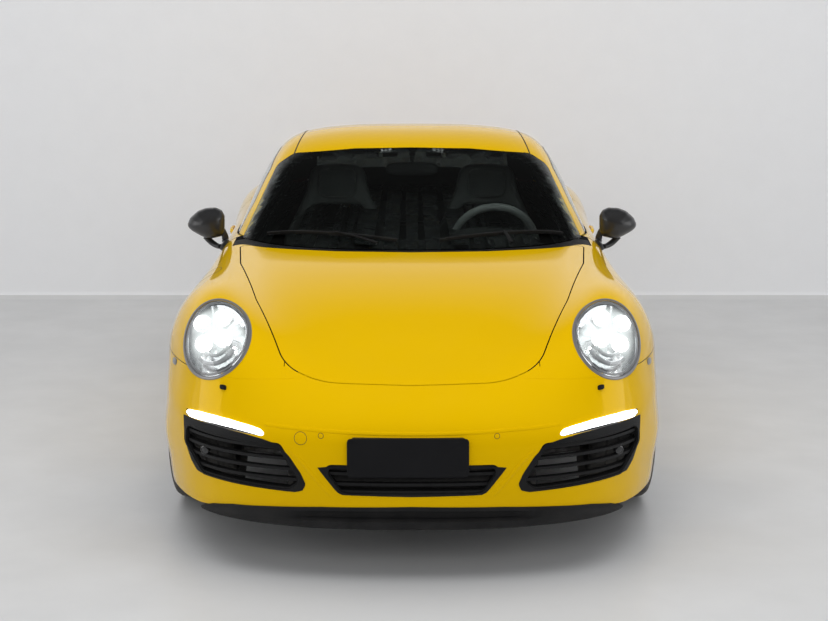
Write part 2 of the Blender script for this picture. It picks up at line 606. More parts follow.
def swept(path, profile, normals, closed=False):
    # a closed profile (side, out) carried along a path that lies on a surface with the given normals
    path, normals, profile = (np.asarray(a, float) for a in (path, normals, profile))
    ahead = np.roll(path, -1, 0) - np.roll(path, 1, 0)
    if not closed:
        ahead[0], ahead[-1] = path[1] - path[0], path[-1] - path[-2]
    ahead /= np.linalg.norm(ahead, axis=1, keepdims=True)
    sideways = np.cross(ahead, normals)
    sideways /= np.linalg.norm(sideways, axis=1, keepdims=True)
    out = np.cross(sideways, ahead)
    points = path[:, None] + profile[None, :, :1] * sideways[:, None] + profile[None, :, 1:2] * out[:, None]
    count = len(path), len(profile)
    return points.reshape(-1, 3), gridFaces(*count, True, True) if closed else capped(*count)


def roundedOutline(corners, step=0.01):
    # closed outline with arcs at its corners, from (a, b, radius); returns evenly spaced points
    flat = np.array([c[:2] for c in corners], float)
    out = []
    for i, (a, b, radius) in enumerate(corners):
        before, here, after = flat[i - 1], flat[i], flat[(i + 1) % len(flat)]
        u, v = before - here, after - here
        if radius > 0:
            u, v = u / np.linalg.norm(u), v / np.linalg.norm(v)
        if radius <= 0 or np.linalg.norm(u + v) < 1e-3:
            out.append(here[None])
            continue
        half = math.acos(float(np.clip(u @ v, -1, 1))) / 2
        run = radius / math.tan(half)
        middle = here + (u + v) / np.linalg.norm(u + v) * radius / math.sin(half)
        first, last = here + u * run - middle, here + v * run - middle
        turn = math.atan2(first[0] * last[1] - first[1] * last[0], first @ last)
        t = np.linspace(0, turn, max(4, int(abs(turn) * radius / step) + 2))[:, None]
        spun = first * np.cos(t) + np.array([-first[1], first[0]]) * np.sin(t)
        out.append(middle + spun)
    line = np.concatenate(out + [out[0][:1]])
    lengths = np.concatenate([[0], np.cumsum(np.linalg.norm(np.diff(line, axis=0), axis=1))])
    places = np.linspace(0, lengths[-1], max(16, int(lengths[-1] / step)), endpoint=False)
    return np.column_stack([np.interp(places, lengths, line[:, k]) for k in range(2)])


def bothSides(corners):
    # half an outline followed by its mirror image
    return list(corners) + [(-a, b, r) for a, b, r in reversed(corners) if a != 0]


def beadProfile(width, height, sink=0.001):
    # half-round bead section: (cos(t) * width / 2, sin(t)^0.8 * height), closed below the surface
    t = np.linspace(0, np.pi, 9)
    arc = np.column_stack([np.cos(t) * width / 2, np.sin(t) ** 0.8 * height])
    return np.concatenate([arc, [[-width / 2, -sink], [width / 2, -sink]]])


def easeBetween(value, low, high):
    # 3 t^2 - 2 t^3 between two values
    share = np.clip((value - low) / (high - low), 0, 1)
    return share * share * (3 - 2 * share)


# painted panels and glass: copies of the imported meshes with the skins' own normals
bumperDraw = {"out": 0.013, "outX": (0.80, 0.87), "outZ": (0.50, 0.36), "lowZ": (0.36, 0.25), "lowShare": 0.4,
              "hangX": [0.40, 0.50, 0.60, 0.67, 0.72, 0.78], "hang": [0, 0.010, 0.022, 0.036, 0.044, 0.044],
              "hangZ": (0.296, 0.25)}


def bumperShift(points):
    # how far the bumper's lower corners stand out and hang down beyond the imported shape
    x, z = np.abs(points[:, 0]), points[:, 2]
    out = bumperDraw["out"] * easeBetween(x, *bumperDraw["outX"]) * easeBetween(z, *bumperDraw["outZ"])
    out = out * (1 - bumperDraw["lowShare"] * easeBetween(z, *bumperDraw["lowZ"]))
    hang = np.interp(x, bumperDraw["hangX"], bumperDraw["hang"]) * easeBetween(z, *bumperDraw["hangZ"])
    return np.column_stack([np.sign(points[:, 0]) * out, np.zeros(len(points)), -hang])


skinMatch = {"merge": 2e-5, "sharp": 28, "along": 0.93, "within": 0.032, "outerAlong": 0.3, "outerWithin": 0.002}


def readInto(collection, label, kind, width=1):
    # one property of a mesh's elements as an array
    values = np.zeros(len(collection) * width, kind)
    collection.foreach_get(label, values)
    return values.reshape(-1, width) if width > 1 else values


def skinnedCopy(node, finishName, insideName=None, shift=None):
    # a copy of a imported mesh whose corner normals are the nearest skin's wherever its faces lie along that skin;
    # with a shift, places move by shift(place) and normals turn by the inverse transpose of its Jacobian
    mesh = nodes[node].data.copy()
    mesh.materials.clear()
    work = bmesh.new()
    work.from_mesh(mesh)
    bmesh.ops.remove_doubles(work, verts=work.verts, dist=skinMatch["merge"])
    work.to_mesh(mesh)
    work.free()
    mesh.polygons.foreach_set("use_smooth", np.full(len(mesh.polygons), True))
    mesh.set_sharp_from_angle(angle=math.radians(skinMatch["sharp"]))
    normals = readInto(mesh.corner_normals, "vector", np.float32, 3).astype(float)
    owner = readInto(mesh.loops, "vertex_index", int)
    places = readInto(mesh.vertices, "co", float, 3)
    sizes = readInto(mesh.polygons, "loop_total", int)
    polygonOf = np.repeat(np.arange(len(sizes)), sizes)
    facing = readInto(mesh.polygons, "normal", float, 3)[polygonOf]
    best = np.zeros(len(owner))
    outer = np.zeros(len(owner), bool)
    for which in skins:
        at, normal = footOn(which, places)
        gap = np.linalg.norm(places - at, axis=1)[owner]
        normal = normal[owner]
        match = np.einsum("nk,nk->n", facing, normal)
        fits = (np.abs(match) > skinMatch["along"]) & (gap < skinMatch["within"]) & (np.abs(match) - gap > best)
        normals[fits] = normal[fits] * np.sign(match[fits])[:, None]
        best[fits] = (np.abs(match) - gap)[fits]
        outer |= (match > skinMatch["outerAlong"]) & (gap < skinMatch["outerWithin"])
    if shift:
        step = 1e-4
        slopes = [(shift(places + step * axis) - shift(places - step * axis)) / (2 * step) for axis in np.eye(3)]
        jacobian = np.eye(3) + np.stack(slopes, axis=2)
        normals = np.linalg.solve(jacobian.transpose(0, 2, 1)[owner], normals[..., None])[..., 0]
        normals /= np.linalg.norm(normals, axis=1, keepdims=True)
        mesh.vertices.foreach_set("co", (places + shift(places)).ravel())
    mesh.normals_split_custom_set(normals.tolist())
    mesh.materials.append(finishes[finishName])
    if insideName:
        # every face that isn't on the outside of a skin gets the inner finish
        mesh.materials.append(finishes[insideName])
        inward = np.ones(len(sizes), bool)
        np.logical_and.at(inward, polygonOf, ~outer)
        mesh.polygons.foreach_set("material_index", inward.astype(np.int32))
    piece = bpy.data.objects.new(node + "_skin", mesh)
    bpy.context.scene.collection.objects.link(piece)
    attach(piece, bodyOf[node])
    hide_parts(node)


paintedNodes = ["front_bumper", "left_fender", "right_fender", "bonnet", "roof_panel", "left_body_side",
                "right_body_side", "engine_lid", "rear_bumper", "left_door", "right_door"]
for node in paintedNodes:
    bumper = node == "front_bumper"
    skinnedCopy(node, "paint", "underbody" if bumper else "cabinSkin", bumperShift if bumper else None)
for node, finishName in (("windshield", "glass"), ("left_door_glass", "glass"), ("right_door_glass", "glass"),
                         ("rear_window", "darkGlass"), ("quarter_windows", "darkGlass"),
                         ("headlamp_lenses", "lens"), ("tail_lights", "redLamp"), ("cowl_panel", "trim")):
    skinnedCopy(node, finishName)
print("panels ready")

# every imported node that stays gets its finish
nodeFinish = {"intake_grilles": "trim", "floor_pan": "underbody", "engine_block": "engine", "front_axle": "axle",
              "rear_axle": "axle", "rear_calipers": "caliper", "headlamps": "chrome",
              "front_left_knuckle": "axle", "front_right_knuckle": "axle",
              "front_left_caliper": "caliper", "front_right_caliper": "caliper"}
for node, name in nodeFinish.items():
    nodes[node].data.materials.clear()
    nodes[node].data.materials.append(finishes[name])

# floor and wall in one bent sheet, with a small cove between them
bend = np.linspace(0, np.pi / 2, 7)
cove, wallY = studio["cove"], studio["wallY"]
line = [(studio["floorFront"], 0)] + [(wallY - cove + cove * math.sin(t), cove - cove * math.cos(t)) for t in bend]
line.append((wallY, studio["wallTop"]))
sheet = np.array([[(x, y, z) for y, z in line] for x in (-studio["halfWidth"], studio["halfWidth"])])
stagePiece = newPiece("floorAndWall", sheet.reshape(-1, 3), gridFaces(2, len(line)), "floor", None)
stagePiece.data.materials.append(finishes["wall"])
for polygon in stagePiece.data.polygons:
    polygon.material_index = int(polygon.center[2] > studio["floorLevel"])
if stagePiece.data.polygons[0].normal[2] < 0:
    stagePiece.data.flip_normals()
for name in ("wall", "floor"):
    # seen from behind or below, the sheet doesn't hide the car
    tree = finishes[name].node_tree
    behindSheet = addNode(tree, "NewGeometry").outputs["Backfacing"]
    seenThrough = shaderBetween(tree, behindSheet, tree.nodes["Principled BSDF"], addNode(tree, "BsdfTransparent"))
    tree.links.new(seenThrough, tree.nodes["Material Output"].inputs["Surface"])


def unit(vector):
    # a direction of length 1
    vector = np.array(vector, float)
    return vector / np.linalg.norm(vector)


def padOn(view, outline, height, dome=0.0):
    # a raised pad: rings middle + (outline - middle) * share, each lifted off the skin by its own height
    outline = np.asarray(outline, float)
    middle = outline.mean(0)
    shares = [0.02, 1.0, 1, 0.985, 0.95, 0.8, 0.5, 0.25, 0.02]
    sink = 0.0015
    lifts = [-sink, -sink, height * 0.4, height * 0.8, height]
    lifts += [height + dome * (1 - s * s) for s in (0.8, 0.5, 0.25, 0)]
    rings = [dropOn(view, middle + (outline - middle) * share, lift)[0] for share, lift in zip(shares, lifts)]
    return np.concatenate(rings), capped(len(rings), len(outline))


def oval(a, b, halfA, halfB, steps=40, power=2.0):
    # a superellipse: (cos, sin)(t) with each part raised to 2 / power
    t = np.linspace(0, 2 * np.pi, steps, endpoint=False)
    c, s = np.cos(t), np.sin(t)
    return np.column_stack([a + halfA * np.sign(c) * np.abs(c) ** (2 / power),
                            b + halfB * np.sign(s) * np.abs(s) ** (2 / power)])


def turned(profile, centre, axis, steps=48):
    # a closed outline (along, radius) turned about an axis
    axis = unit(axis)
    first = unit(np.cross(axis, (0.31, 0.2, 0.93) if abs(axis[2]) < 0.9 else (1, 0, 0)))
    second = np.cross(axis, first)
    angle = np.linspace(0, 2 * np.pi, steps, endpoint=False)[:, None, None]
    profile = np.asarray(profile, float)
    around = np.cos(angle) * first + np.sin(angle) * second
    points = np.array(centre, float) + profile[None, :, :1] * axis + profile[None, :, 1:2] * around
    return points.reshape(-1, 3), gridFaces(steps, len(profile), True, True)


def tube(path, radii, steps=14, flatten=1.0):
    # a round or flattened bar along a free path, closed at both ends
    path = np.asarray(path, float)
    ahead = np.gradient(path, axis=0)
    ahead /= np.linalg.norm(ahead, axis=1, keepdims=True)
    side = np.cross(ahead, (0.03, 0.05, 1.0))
    side /= np.linalg.norm(side, axis=1, keepdims=True)
    over = np.cross(side, ahead)
    t = np.linspace(0, 2 * np.pi, steps, endpoint=False)
    radii = np.broadcast_to(np.asarray(radii, float), (len(path),))[:, None, None]
    ring = np.cos(t)[None, :, None] * side[:, None] + flatten * np.sin(t)[None, :, None] * over[:, None]
    points = path[:, None] + radii * ring
    return points.reshape(-1, 3), capped(len(path), steps)


def bezier(points, count=16):
    # a Bezier curve by repeated mixing: p = p_k * (1 - t) + p_(k+1) * t until one point is left
    points = np.array(points, float)
    t = np.linspace(0, 1, count)[:, None]
    while len(points.shape) == 2 or points.shape[1] > 1:
        if len(points.shape) == 2:
            points = np.broadcast_to(points, (count, *points.shape))
        points = points[:, :-1] * (1 - t[:, None]) + points[:, 1:] * t[:, None]
    return points[:, 0]


xAxis, yAxis, zAxis = (1, 0, 0), (0, 1, 0), (0, 0, 1)
# views of a skin: which skin, the two directions in which places are given, and the side it is seen from
fromFront = ("body", xAxis, zAxis, (0, -1, 0))
fromLeft = ("body", yAxis, zAxis, xAxis)
fromBehind = ("body", xAxis, zAxis, yAxis)
screenView = ("roof", xAxis, zAxis, (0, -0.6, 0.8))
roofView = ("roof", xAxis, yAxis, zAxis)
windowView = ("roof", yAxis, zAxis, xAxis)

# headlamps: ring, fluted bowl, four lit projectors and a turn lamp bar
lamp = {"centre": (0.673, station(-0.640), 0.750), "axis": unit((0.05, -0.91, 0.41)),
        "across": unit((1.0, -0.0171, -0.16)), "half": np.array([0.117, 0.147]), "steps": 88,
        "rings": [(1.045, 0, 0.0125, 0.004, 0.001), (0.95, 0.012, 0.010, 0.006, 0.002)],
        "bowlShare": 0.965, "bowlDepth": 0.062, "bowlEdge": 0.014, "bowlWall": 0.003, "flutes": 22,
        "fluteDepth": 0.0064, "projectors": [(0.40, 0.50), (-0.24, 0.50), (0.38, -0.06), (-0.24, -0.08)],
        "projectorDepth": 0.058, "lightRadius": 0.0165, "barAngles": (1.22, 1.78),
        "bars": [(0.66, 0.026, 0.016, 0.008), (0.44, 0.044, 0.012, 0.006)],
        "glareSteps": 26, "glareDepth": 0.008, "glareThick": 0.001, "glareTop": 0.97, "glareBase": 0.02,
        "glares": [(0.95, 0.0215), (0.32, 0.048)], "glareFade": (0.72, 0.18)}
lamp["up"] = np.cross(lamp["axis"], lamp["across"])
lampMiddle = np.array([lamp["centre"] @ lamp["across"], lamp["centre"] @ lamp["up"]])
lampView = ("body", lamp["across"], lamp["up"], lamp["axis"])
around = np.linspace(0, 2 * np.pi, lamp["steps"], endpoint=False)


def lampSkin(share, angle, depth=0.0):
    # places on the skin at middle + share * (cos, sin) of an angle * half size, sunk along the lamp's axis
    flat = lampMiddle + np.column_stack([share * np.cos(angle), share * np.sin(angle)]) * lamp["half"]
    places, normals = dropOn(lampView, flat)
    return places - lamp["axis"] * depth, normals


ringParts = []
for share, depth, width, height, sink in lamp["rings"]:
    ringPath, ringNormals = lampSkin(share, around, depth)
    ringParts.append(swept(ringPath, beadProfile(width, height, sink), ringNormals, True))
# bowl depth = edge + depth * (1 - share^2) - flutes * cos(n * angle), and a plain back wall behind it
bowlRings = []
for share in np.linspace(0.015, 1, 16):
    ripple = lamp["fluteDepth"] * np.cos(lamp["flutes"] * around) * share ** 2 * (1 - share)
    depth = lamp["bowlEdge"] + lamp["bowlDepth"] * (1 - share ** 2) - ripple
    bowlRings.append(lampSkin(share * lamp["bowlShare"], around)[0] - np.outer(depth, lamp["axis"]))
for share in np.linspace(1, 0.015, 8):
    depth = lamp["bowlEdge"] + lamp["bowlDepth"] * (1 - share ** 2) + lamp["bowlWall"]
    bowlRings.append(lampSkin(share * lamp["bowlShare"], around, depth)[0])
bowl = (np.concatenate(bowlRings), capped(len(bowlRings), lamp["steps"]))
collars, lights = [], []
r = lamp["lightRadius"]
for a, b in lamp["projectors"]:
    seat = dropOn(lampView, lampMiddle + np.array([[a, b]]) * lamp["half"])[0][0]
    seat = seat - lamp["axis"] * lamp["projectorDepth"]
    collars.append(turned([(-0.012, 0.002), (-0.012, 0.020), (0.018, 0.031), (0.021, 0.0315), (0.021, 0.0295),
                           (0.004, 0.019), (0.003, 0.002)], seat, lamp["axis"], 36))
    lights.append(turned([(0.003, 0.0004), (0.003, r), (0.010, r * 0.95), (0.016, r * 0.72), (0.019, r * 0.35),
                          (0.020, 0.0004)], seat, lamp["axis"], 32))
barAngles = np.linspace(*lamp["barAngles"], 26) * np.pi
barNormals = lampSkin(lamp["bars"][0][0], barAngles)[1]
bars = [swept(lampSkin(share, barAngles, depth)[0], beadProfile(width, height, 0.004), barNormals)
        for share, depth, width, height in lamp["bars"]]
glareRings = [lampSkin(share, around, lamp["glareDepth"])[0] for share in np.linspace(0.01, 0.90,
                                                                                      lamp["glareSteps"])]
glareRings += [ring - lamp["axis"] * lamp["glareThick"] for ring in glareRings[::-1]]
glarePart = (np.concatenate(glareRings), capped(len(glareRings), lamp["steps"]))


def glareAt(points):
    # cover = base + sum over the four lights of strength * exp(-(distance / reach)^2), faded at the edge
    flat = np.column_stack([points @ lamp["across"], points @ lamp["up"]]) - lampMiddle
    cover = np.full(len(points), lamp["glareBase"])
    for place in lamp["projectors"]:
        away = np.linalg.norm(flat - np.array(place) * lamp["half"], axis=1)
        cover += sum(strength * np.exp(-(away / reach) ** 2) for strength, reach in lamp["glares"])
    fadeFrom, fadeOver = lamp["glareFade"]
    fade = 1 - np.clip((np.linalg.norm(flat / lamp["half"], axis=1) - fadeFrom) / fadeOver, 0, 1)
    return np.clip(cover, 0, lamp["glareTop"]) * fade


glarePiece = newPiece("headlampGlare", *pairOf(glarePart), "glare", slot="lamp_white", sharp=50)
stored = glarePiece.data.attributes.new("glare", "FLOAT", "POINT")
stored.data.foreach_set("value", np.tile(glareAt(glarePart[0]), 2).astype(np.float32))
for label, parts, finishName, slot in (
        ("headlampRings", ringParts, "greyRing", "black_trim"), ("headlampBowls", [bowl], "chrome", "lamp_bowl"),
        ("headlampCollars", collars, "steel", "lamp_bowl"), ("headlampLights", lights, "ledGlow", "lamp_white"),
        ("headlampTurnBars", bars, "greyRing", "lamp_bowl")):
    newPiece(label, *pairOf(*parts), finishName, slot=slot, sharp=50)

# small fittings of the front bumper
fitting = {"nozzle": (0.630, 0.608), "nozzleSize": (0.0105, 0.0075), "towCover": (-0.3626, 0.482, 0.0205, 0.019),
           "sensors": [(-0.296, 0.493, 0.0085, 0.0072), (0.276, 0.493, 0.0085, 0.0072)],
           "sideSensors": [(0.705, 0.392), (-0.705, 0.392)], "sideSensorSunk": 0.012}
x, z = fitting["nozzle"]
nozzles = [padOn(fromFront, oval(sign * x, z, *fitting["nozzleSize"], 28, 3.5), 0.006, dome=0.003) for sign in (1,
                                                                                                                -1)]
newPiece("washerNozzles", *merged(*nozzles), "trim", sharp=40)


def ringOn(a, b, radius):
    # a hairline bead round a circle seen from the front
    path, normals = dropOn(fromFront, oval(a, b, radius, radius, 48))
    return swept(path, beadProfile(0.0016, 0.0003, 0.0006), normals, True)


x, z, radius, capRadius = fitting["towCover"]
coverRings = [ringOn(x, z, radius)]
caps = [padOn(fromFront, oval(x, z, capRadius, capRadius, 40), 0.0006, dome=0.0004)]
for x, z, radius, capRadius in fitting["sensors"]:
    coverRings.append(ringOn(x, z, radius))
    caps.append(padOn(fromFront, oval(x, z, capRadius, capRadius, 28), 0.0008, dome=0.0005))
newPiece("coverRings", *merged(*coverRings), "rubber")
newPiece("bumperCaps", *merged(*caps), "paint", slot="body_paint", sharp=40)
sideSensors = []
for x, z in fitting["sideSensors"]:
    seat = dropOn(fromFront, [(x, z)], -fitting["sideSensorSunk"])[0][0]
    sideSensors.append(turned([(-0.012, 0.0004), (-0.012, 0.015), (0.004, 0.015), (0.0055, 0.0125),
                               (0.0055, 0.0115),
                               (0.004, 0.0105), (0.005, 0.0004)], seat, (0.45 * np.sign(x), -1, 0), 32))
newPiece("sideSensors", *merged(*sideSensors), "glossBlack", sharp=40)

dayLight = {"outline": [(0.768, 0.503), (0.757, 0.5145), (0.713, 0.5205), (0.655, 0.5205), (0.602, 0.5175),
                        (0.532, 0.5085), (0.498, 0.5015), (0.4865, 0.493), (0.484, 0.484), (0.494, 0.4805),
                        (0.5316, 0.4865), (0.592, 0.493), (0.6555, 0.496), (0.752, 0.4935)],
            "corner": 0.004, "height": 0.0035, "dome": 0.0015}
dayOutline = roundedOutline([(a, b, dayLight["corner"]) for a, b in dayLight["outline"]], 0.004)
dayBar = padOn(fromFront, dayOutline, dayLight["height"], dome=dayLight["dome"])
newPiece("dayLightBars", *pairOf(dayBar), "daylight", slot="lamp_white", replaced=["daytime_lights"], sharp=45)

# blank plate on its holder
plate = {"width": 0.395, "height": 0.129, "middleZ": 0.428, "middleX": -0.013, "radius": 0.011, "standOff": 0.006,
         "thickness": 0.0022, "edge": 0.0008, "ridge": 0.0007, "holderGap": 0.0005, "holderShare": 0.97}
top, bottom = (plate["middleZ"] + sign * plate["height"] / 2 for sign in (1, -1))
plateOutline = roundedOutline(bothSides([(0, top, 0), (plate["width"] / 2, top, plate["radius"]),
                                         (plate["width"] / 2, bottom, plate["radius"]), (0, bottom, 0)]), 0.006)
plateOutline += (plate["middleX"], 0)
plateFace = dropOn(fromFront, [(0.0, plate["middleZ"])])[0][0][1] - plate["standOff"]


def levelRing(outline, share, y):
    # an outline scaled about its middle, standing at one y
    middle = outline.mean(0)
    flat = middle + (outline - middle) * share
    return np.column_stack([flat[:, 0], np.full(len(flat), y), flat[:, 1]])


def plateShape(outline, frontY, backY, edge):
    # front and back flats with a rounded edge between them, and a low rim round the front
    ridge = frontY - plate["ridge"]
    rings = [levelRing(outline, share, y) for share, y in (
        (0.02, backY), (1, backY), (1, frontY + edge), (0.995, frontY), (0.955, frontY), (0.95, ridge),
                                                           (0.7, ridge),
        (0.02, ridge))]
    return np.concatenate(rings), capped(len(rings), len(outline))


def holderShape(back, outline, y):
    # a skirt from a ring on the body to the plate's back, closed by a flat
    rings = [back, levelRing(outline, plate["holderShare"], y), levelRing(outline, 0.02, y)]
    return np.concatenate(rings), gridFaces(3, len(outline), False, True)


newPiece("frontPlate", *plateShape(plateOutline, plateFace - plate["thickness"], plateFace, plate["edge"]), "plate",
         sharp=35)
holderBack = dropOn(fromFront, plateOutline * (0.94, 1), -0.002)[0]
newPiece("plateHolder", *holderShape(holderBack, plateOutline, plateFace + plate["holderGap"]), "trim", sharp=35)

# black frames round the intakes and the mouth, over the paint
intake = {"frame": [(0.778, 0.492), (0.776, 0.456), (0.769, 0.397), (0.750, 0.346), (0.727, 0.315), (0.688, 0.3085),
                    (0.587, 0.3085), (0.5, 0.306), (0.425, 0.300), (0.383, 0.2985), (0.357, 0.306), (0.347, 0.328),
                    (0.362, 0.364), (0.397, 0.417), (0.430, 0.452), (0.455, 0.462), (0.489, 0.471), (0.557, 0.482),
                    (0.655, 0.4905)],
          "hole": [(0.430, 0.462, 0.024), (0.776, 0.474, 0.030), (0.778, 0.400, 0.040), (0.712, 0.308, 0.030),
                   (0.395, 0.298, 0.040), (0.352, 0.332, 0.030)],
          "mouthFrame": [(0, 0.402), (0.2, 0.400), (0.308, 0.3895), (0.302, 0.380), (0.251, 0.313), (0.228, 0.2965),
                         (0, 0.2925)],
          "mouthHole": [(0, 0.401, 0), (0.308, 0.400, 0.026), (0.240, 0.298, 0.026), (0, 0.298, 0)],
          "holeShrink": (0.955, 0.92), "leastWidth": 0.004, "lift": 0.0022, "tuckIn": 0.014}


def polarLoop(outline, middle, count=160):
    # an outline seen from its middle, resampled at even angles
    arm = np.asarray(outline) - middle
    angle = np.arctan2(arm[:, 1], arm[:, 0])
    order = np.argsort(angle)
    arm, angle = arm[order], angle[order]
    even = np.linspace(-np.pi, np.pi, count, endpoint=False)
    wrapped = np.concatenate([angle[-1:] - 2 * np.pi, angle, angle[:1] + 2 * np.pi])
    arm = np.concatenate([arm[-1:], arm, arm[:1]])
    return middle + np.column_stack([np.interp(even, wrapped, arm[:, k]) for k in range(2)])


def skinBand(view, outer, inner, lift, edge):
    # a thin closed band between two loops on a skin: outer * (1 - share) + inner * share, its edges rounded over
    rings = []
    for share, height in ((0, -0.001), (0.0, lift * 0.6), (0.05, lift), (0.35, lift), (0.7, lift), (0.96, lift),
                          (1, lift * 0.5), (1, -edge), (0.5, -0.0015)):
        rings.append(dropOn(view, outer * (1 - share) + inner * share, height)[0])
    return np.concatenate(rings), gridFaces(len(rings), len(outer), True, True)


def frameBand(hole, outline):
    # the band from a frame's outline to inside its hole; outer arm = max(outline arm, inner arm + least width)
    cut = roundedOutline(hole, 0.006)
    fine = roundedOutline([(a, b, 0) for a, b in outline], 0.003)
    middle = cut.mean(0)
    inner = polarLoop(middle + (cut - middle) * intake["holeShrink"], middle)
    arm = polarLoop(fine, middle) - middle
    reach = np.linalg.norm(arm, axis=1)
    longer = np.maximum(reach, np.linalg.norm(inner - middle, axis=1) + intake["leastWidth"])
    return skinBand(fromFront, middle + arm / reach[:, None] * longer[:, None], inner, intake["lift"],
                    intake["tuckIn"])


mouthFrame = np.array(intake["mouthFrame"])
mouthFrame = np.concatenate([mouthFrame, mouthFrame[::-1] * (-1, 1)])
frames = [pairOf(frameBand(intake["hole"], intake["frame"])), frameBand(bothSides(intake["mouthHole"]), mouthFrame)]
newPiece("intakeFrames", *merged(*frames), "trim", sharp=45)

# creases pressed into the bumper, and body-coloured strips over the seam inboard of each lamp
crease = {"lines": [[(0.486, 0.5175), (0.4475, 0.5150), (0.3975, 0.5129), (0.3314, 0.5105), (0.2659, 0.5080),
                     (0.2105, 0.506), (0.1, 0.5035), (0, 0.5030)],
                    [(0.398, 0.446), (0.3905, 0.4362), (0.3644, 0.411), (0.332, 0.3719), (0.2998, 0.3319),
                     (0.262, 0.288)]], "steps": 50, "width": 0.013, "height": 0.0018, "sink": 0.0016,
          "coverZ": 0.645, "coverX": (0.352, 0.640), "uprightX": 0.4285, "uprightZ": (0.641, 0.671),
          "coverProfile": [(-0.0065, -0.0012), (0.0065, -0.0012), (0.006, 0.0003), (0.003, 0.0005),
                           (-0.003, 0.0005), (-0.006, 0.0003)]}
creases = []
for line in crease["lines"]:
    line = np.array(line)
    lengths = np.concatenate([[0], np.cumsum(np.linalg.norm(np.diff(line, axis=0), axis=1))])
    places = np.linspace(0, lengths[-1], crease["steps"])
    fine = np.column_stack([np.interp(places, lengths, line[:, k]) for k in range(2)])
    path, normals = dropOn(fromFront, fine)
    # the bead swells as sin(t)^0.5 from its outer end to the middle of the car, or fades at both ends
    swell = np.sin(np.linspace(0.12, np.pi if line[-1, 0] else np.pi / 2, crease["steps"]))[:, None] ** 0.5
    profile = beadProfile(crease["width"], crease["height"], 0.002)
    creases.append(swept(path - normals * crease["sink"] * (1 - swell), profile, normals))
newPiece("bumperCreases", *pairOf(*creases), "paint", slot="body_paint", sharp=60)
covers = []
for flat in (np.column_stack([np.linspace(*crease["coverX"], 50), np.full(50, crease["coverZ"])]),
             np.column_stack([np.full(12, crease["uprightX"]), np.linspace(*crease["uprightZ"], 12)])):
    path, normals = dropOn(fromFront, flat)
    covers.append(pairOf(swept(path, crease["coverProfile"], normals)))
newPiece("seamCovers", *merged(*covers), "paint", slot="body_paint", sharp=60)

# chin lip: wings at both ends, and between them a recessed band over a blade
lip = {"halfWidth": 0.715, "wingFrom": 0.32, "wingTo": 0.43, "bottom": 0.181, "root": 0.12, "fadeOver": 0.08,
       "seatZ": 0.252, "reachX": 0.742, "steps": 161,
       "top": ([0, 0.30, 0.47, 0.60, 0.67, 0.70, 0.715], [0.257, 0.251, 0.240, 0.228, 0.213, 0.200, 0.192]),
       "levels": [0, 0.18, 0.22, 0.42, 0.52, 0.57, 0.64, 0.92, 1],
       "middleReach": [0.003, 0.003, -0.008, -0.013, -0.011, 0.005, 0.012, 0.014, 0.009],
       "wingReach": [0.003, 0.007, 0.009, 0.012, 0.014, 0.015, 0.0155, 0.014, 0.006]}


def lipShape():
    # at each x a section (reach, z): reach = mix of the plain and the winged reaches by x, z between top and bottom,
    # carried outwards from the skin's line in plan
    xs = np.linspace(-lip["halfWidth"], lip["halfWidth"], lip["steps"])
    level = np.ones(len(xs))
    edge = dropOn(fromFront, np.column_stack([xs, lip["seatZ"] * level]))[0]
    wing = easeBetween(np.abs(xs), lip["wingFrom"], lip["wingTo"])
    fade = np.clip((lip["halfWidth"] - np.abs(xs)) / lip["fadeOver"], 0, 1) ** 0.5
    top = np.interp(np.abs(xs), *lip["top"])
    bottom = lip["bottom"] + 0.004 * (1 - fade)
    sections = [(-lip["root"] * level, top), (-0.006 * level, top)]
    for share, plain, winged in zip(lip["levels"], lip["middleReach"], lip["wingReach"]):
        reach = (plain * (1 - wing) + winged * wing) * (0.3 + 0.7 * fade)
        sections.append((reach, top + (bottom - top) * share))
    sections.append((-lip["root"] * level, bottom + 0.004))
    sections = np.array(sections[::-1]).transpose(2, 0, 1)
    outward = edge[:, :2] - np.array([0, station(0.2)])
    outward /= np.linalg.norm(outward, axis=1, keepdims=True)
    points = np.zeros((len(xs), sections.shape[1], 3))
    points[..., :2] = edge[:, None, :2] + sections[..., :1] * outward[:, None]
    points[..., 0] = np.clip(points[..., 0], -lip["reachX"], lip["reachX"])
    points[..., 2] = sections[..., 1]
    return points.reshape(-1, 3), capped(*points.shape[:2])


newPiece("chinLip", *lipShape(), "trim", replaced=["front_lip"], sharp=38)

# door mirrors: a domed housing with a flat back, glass, two arms and a foot
mirror = {"outline": [(0.941, 0.939), (0.930, 0.964), (0.897, 0.993), (0.863, 1.006), (0.821, 1.009),
                      (0.796, 0.998),
                      (0.784, 0.976), (0.784, 0.939), (0.786, 0.908), (0.797, 0.890), (0.830, 0.8815),
                      (0.860, 0.880),
                      (0.886, 0.891), (0.921, 0.910), (0.938, 0.925)],
          "middle": (0.856, 0.946), "station": 0.765, "dome": 0.072, "footStation": 0.745, "footZ": 0.852,
          "steps": 64, "toeOut": 0.16, "rim": [(1.0, 0.010), (0.985, 0.018), (0.95, 0.022), (0.90, 0.022),
                                               (0.885, 0.015), (0.02, 0.015)],
          "glass": [(0.02, 0.0145), (0.87, 0.0145), (0.87, 0.0175), (0.86, 0.018), (0.02, 0.018)],
          "arms": [((0.012, -0.016, -0.006), (0.832, 0.845), (0.866, 0.888), (0.013, 0.017)),
                   ((0.0, 0.010, 0.010), (0.775, 0.878), (0.797, 0.912), (0.012, 0.018))]}


def resample(outline, count):
    # a closed outline at evenly spaced places
    closedLine = np.concatenate([outline, outline[:1]])
    lengths = np.concatenate([[0], np.cumsum(np.linalg.norm(np.diff(closedLine, axis=0), axis=1))])
    places = np.linspace(0, lengths[-1], count, endpoint=False)
    return np.column_stack([np.interp(places, lengths, closedLine[:, k]) for k in range(2)])


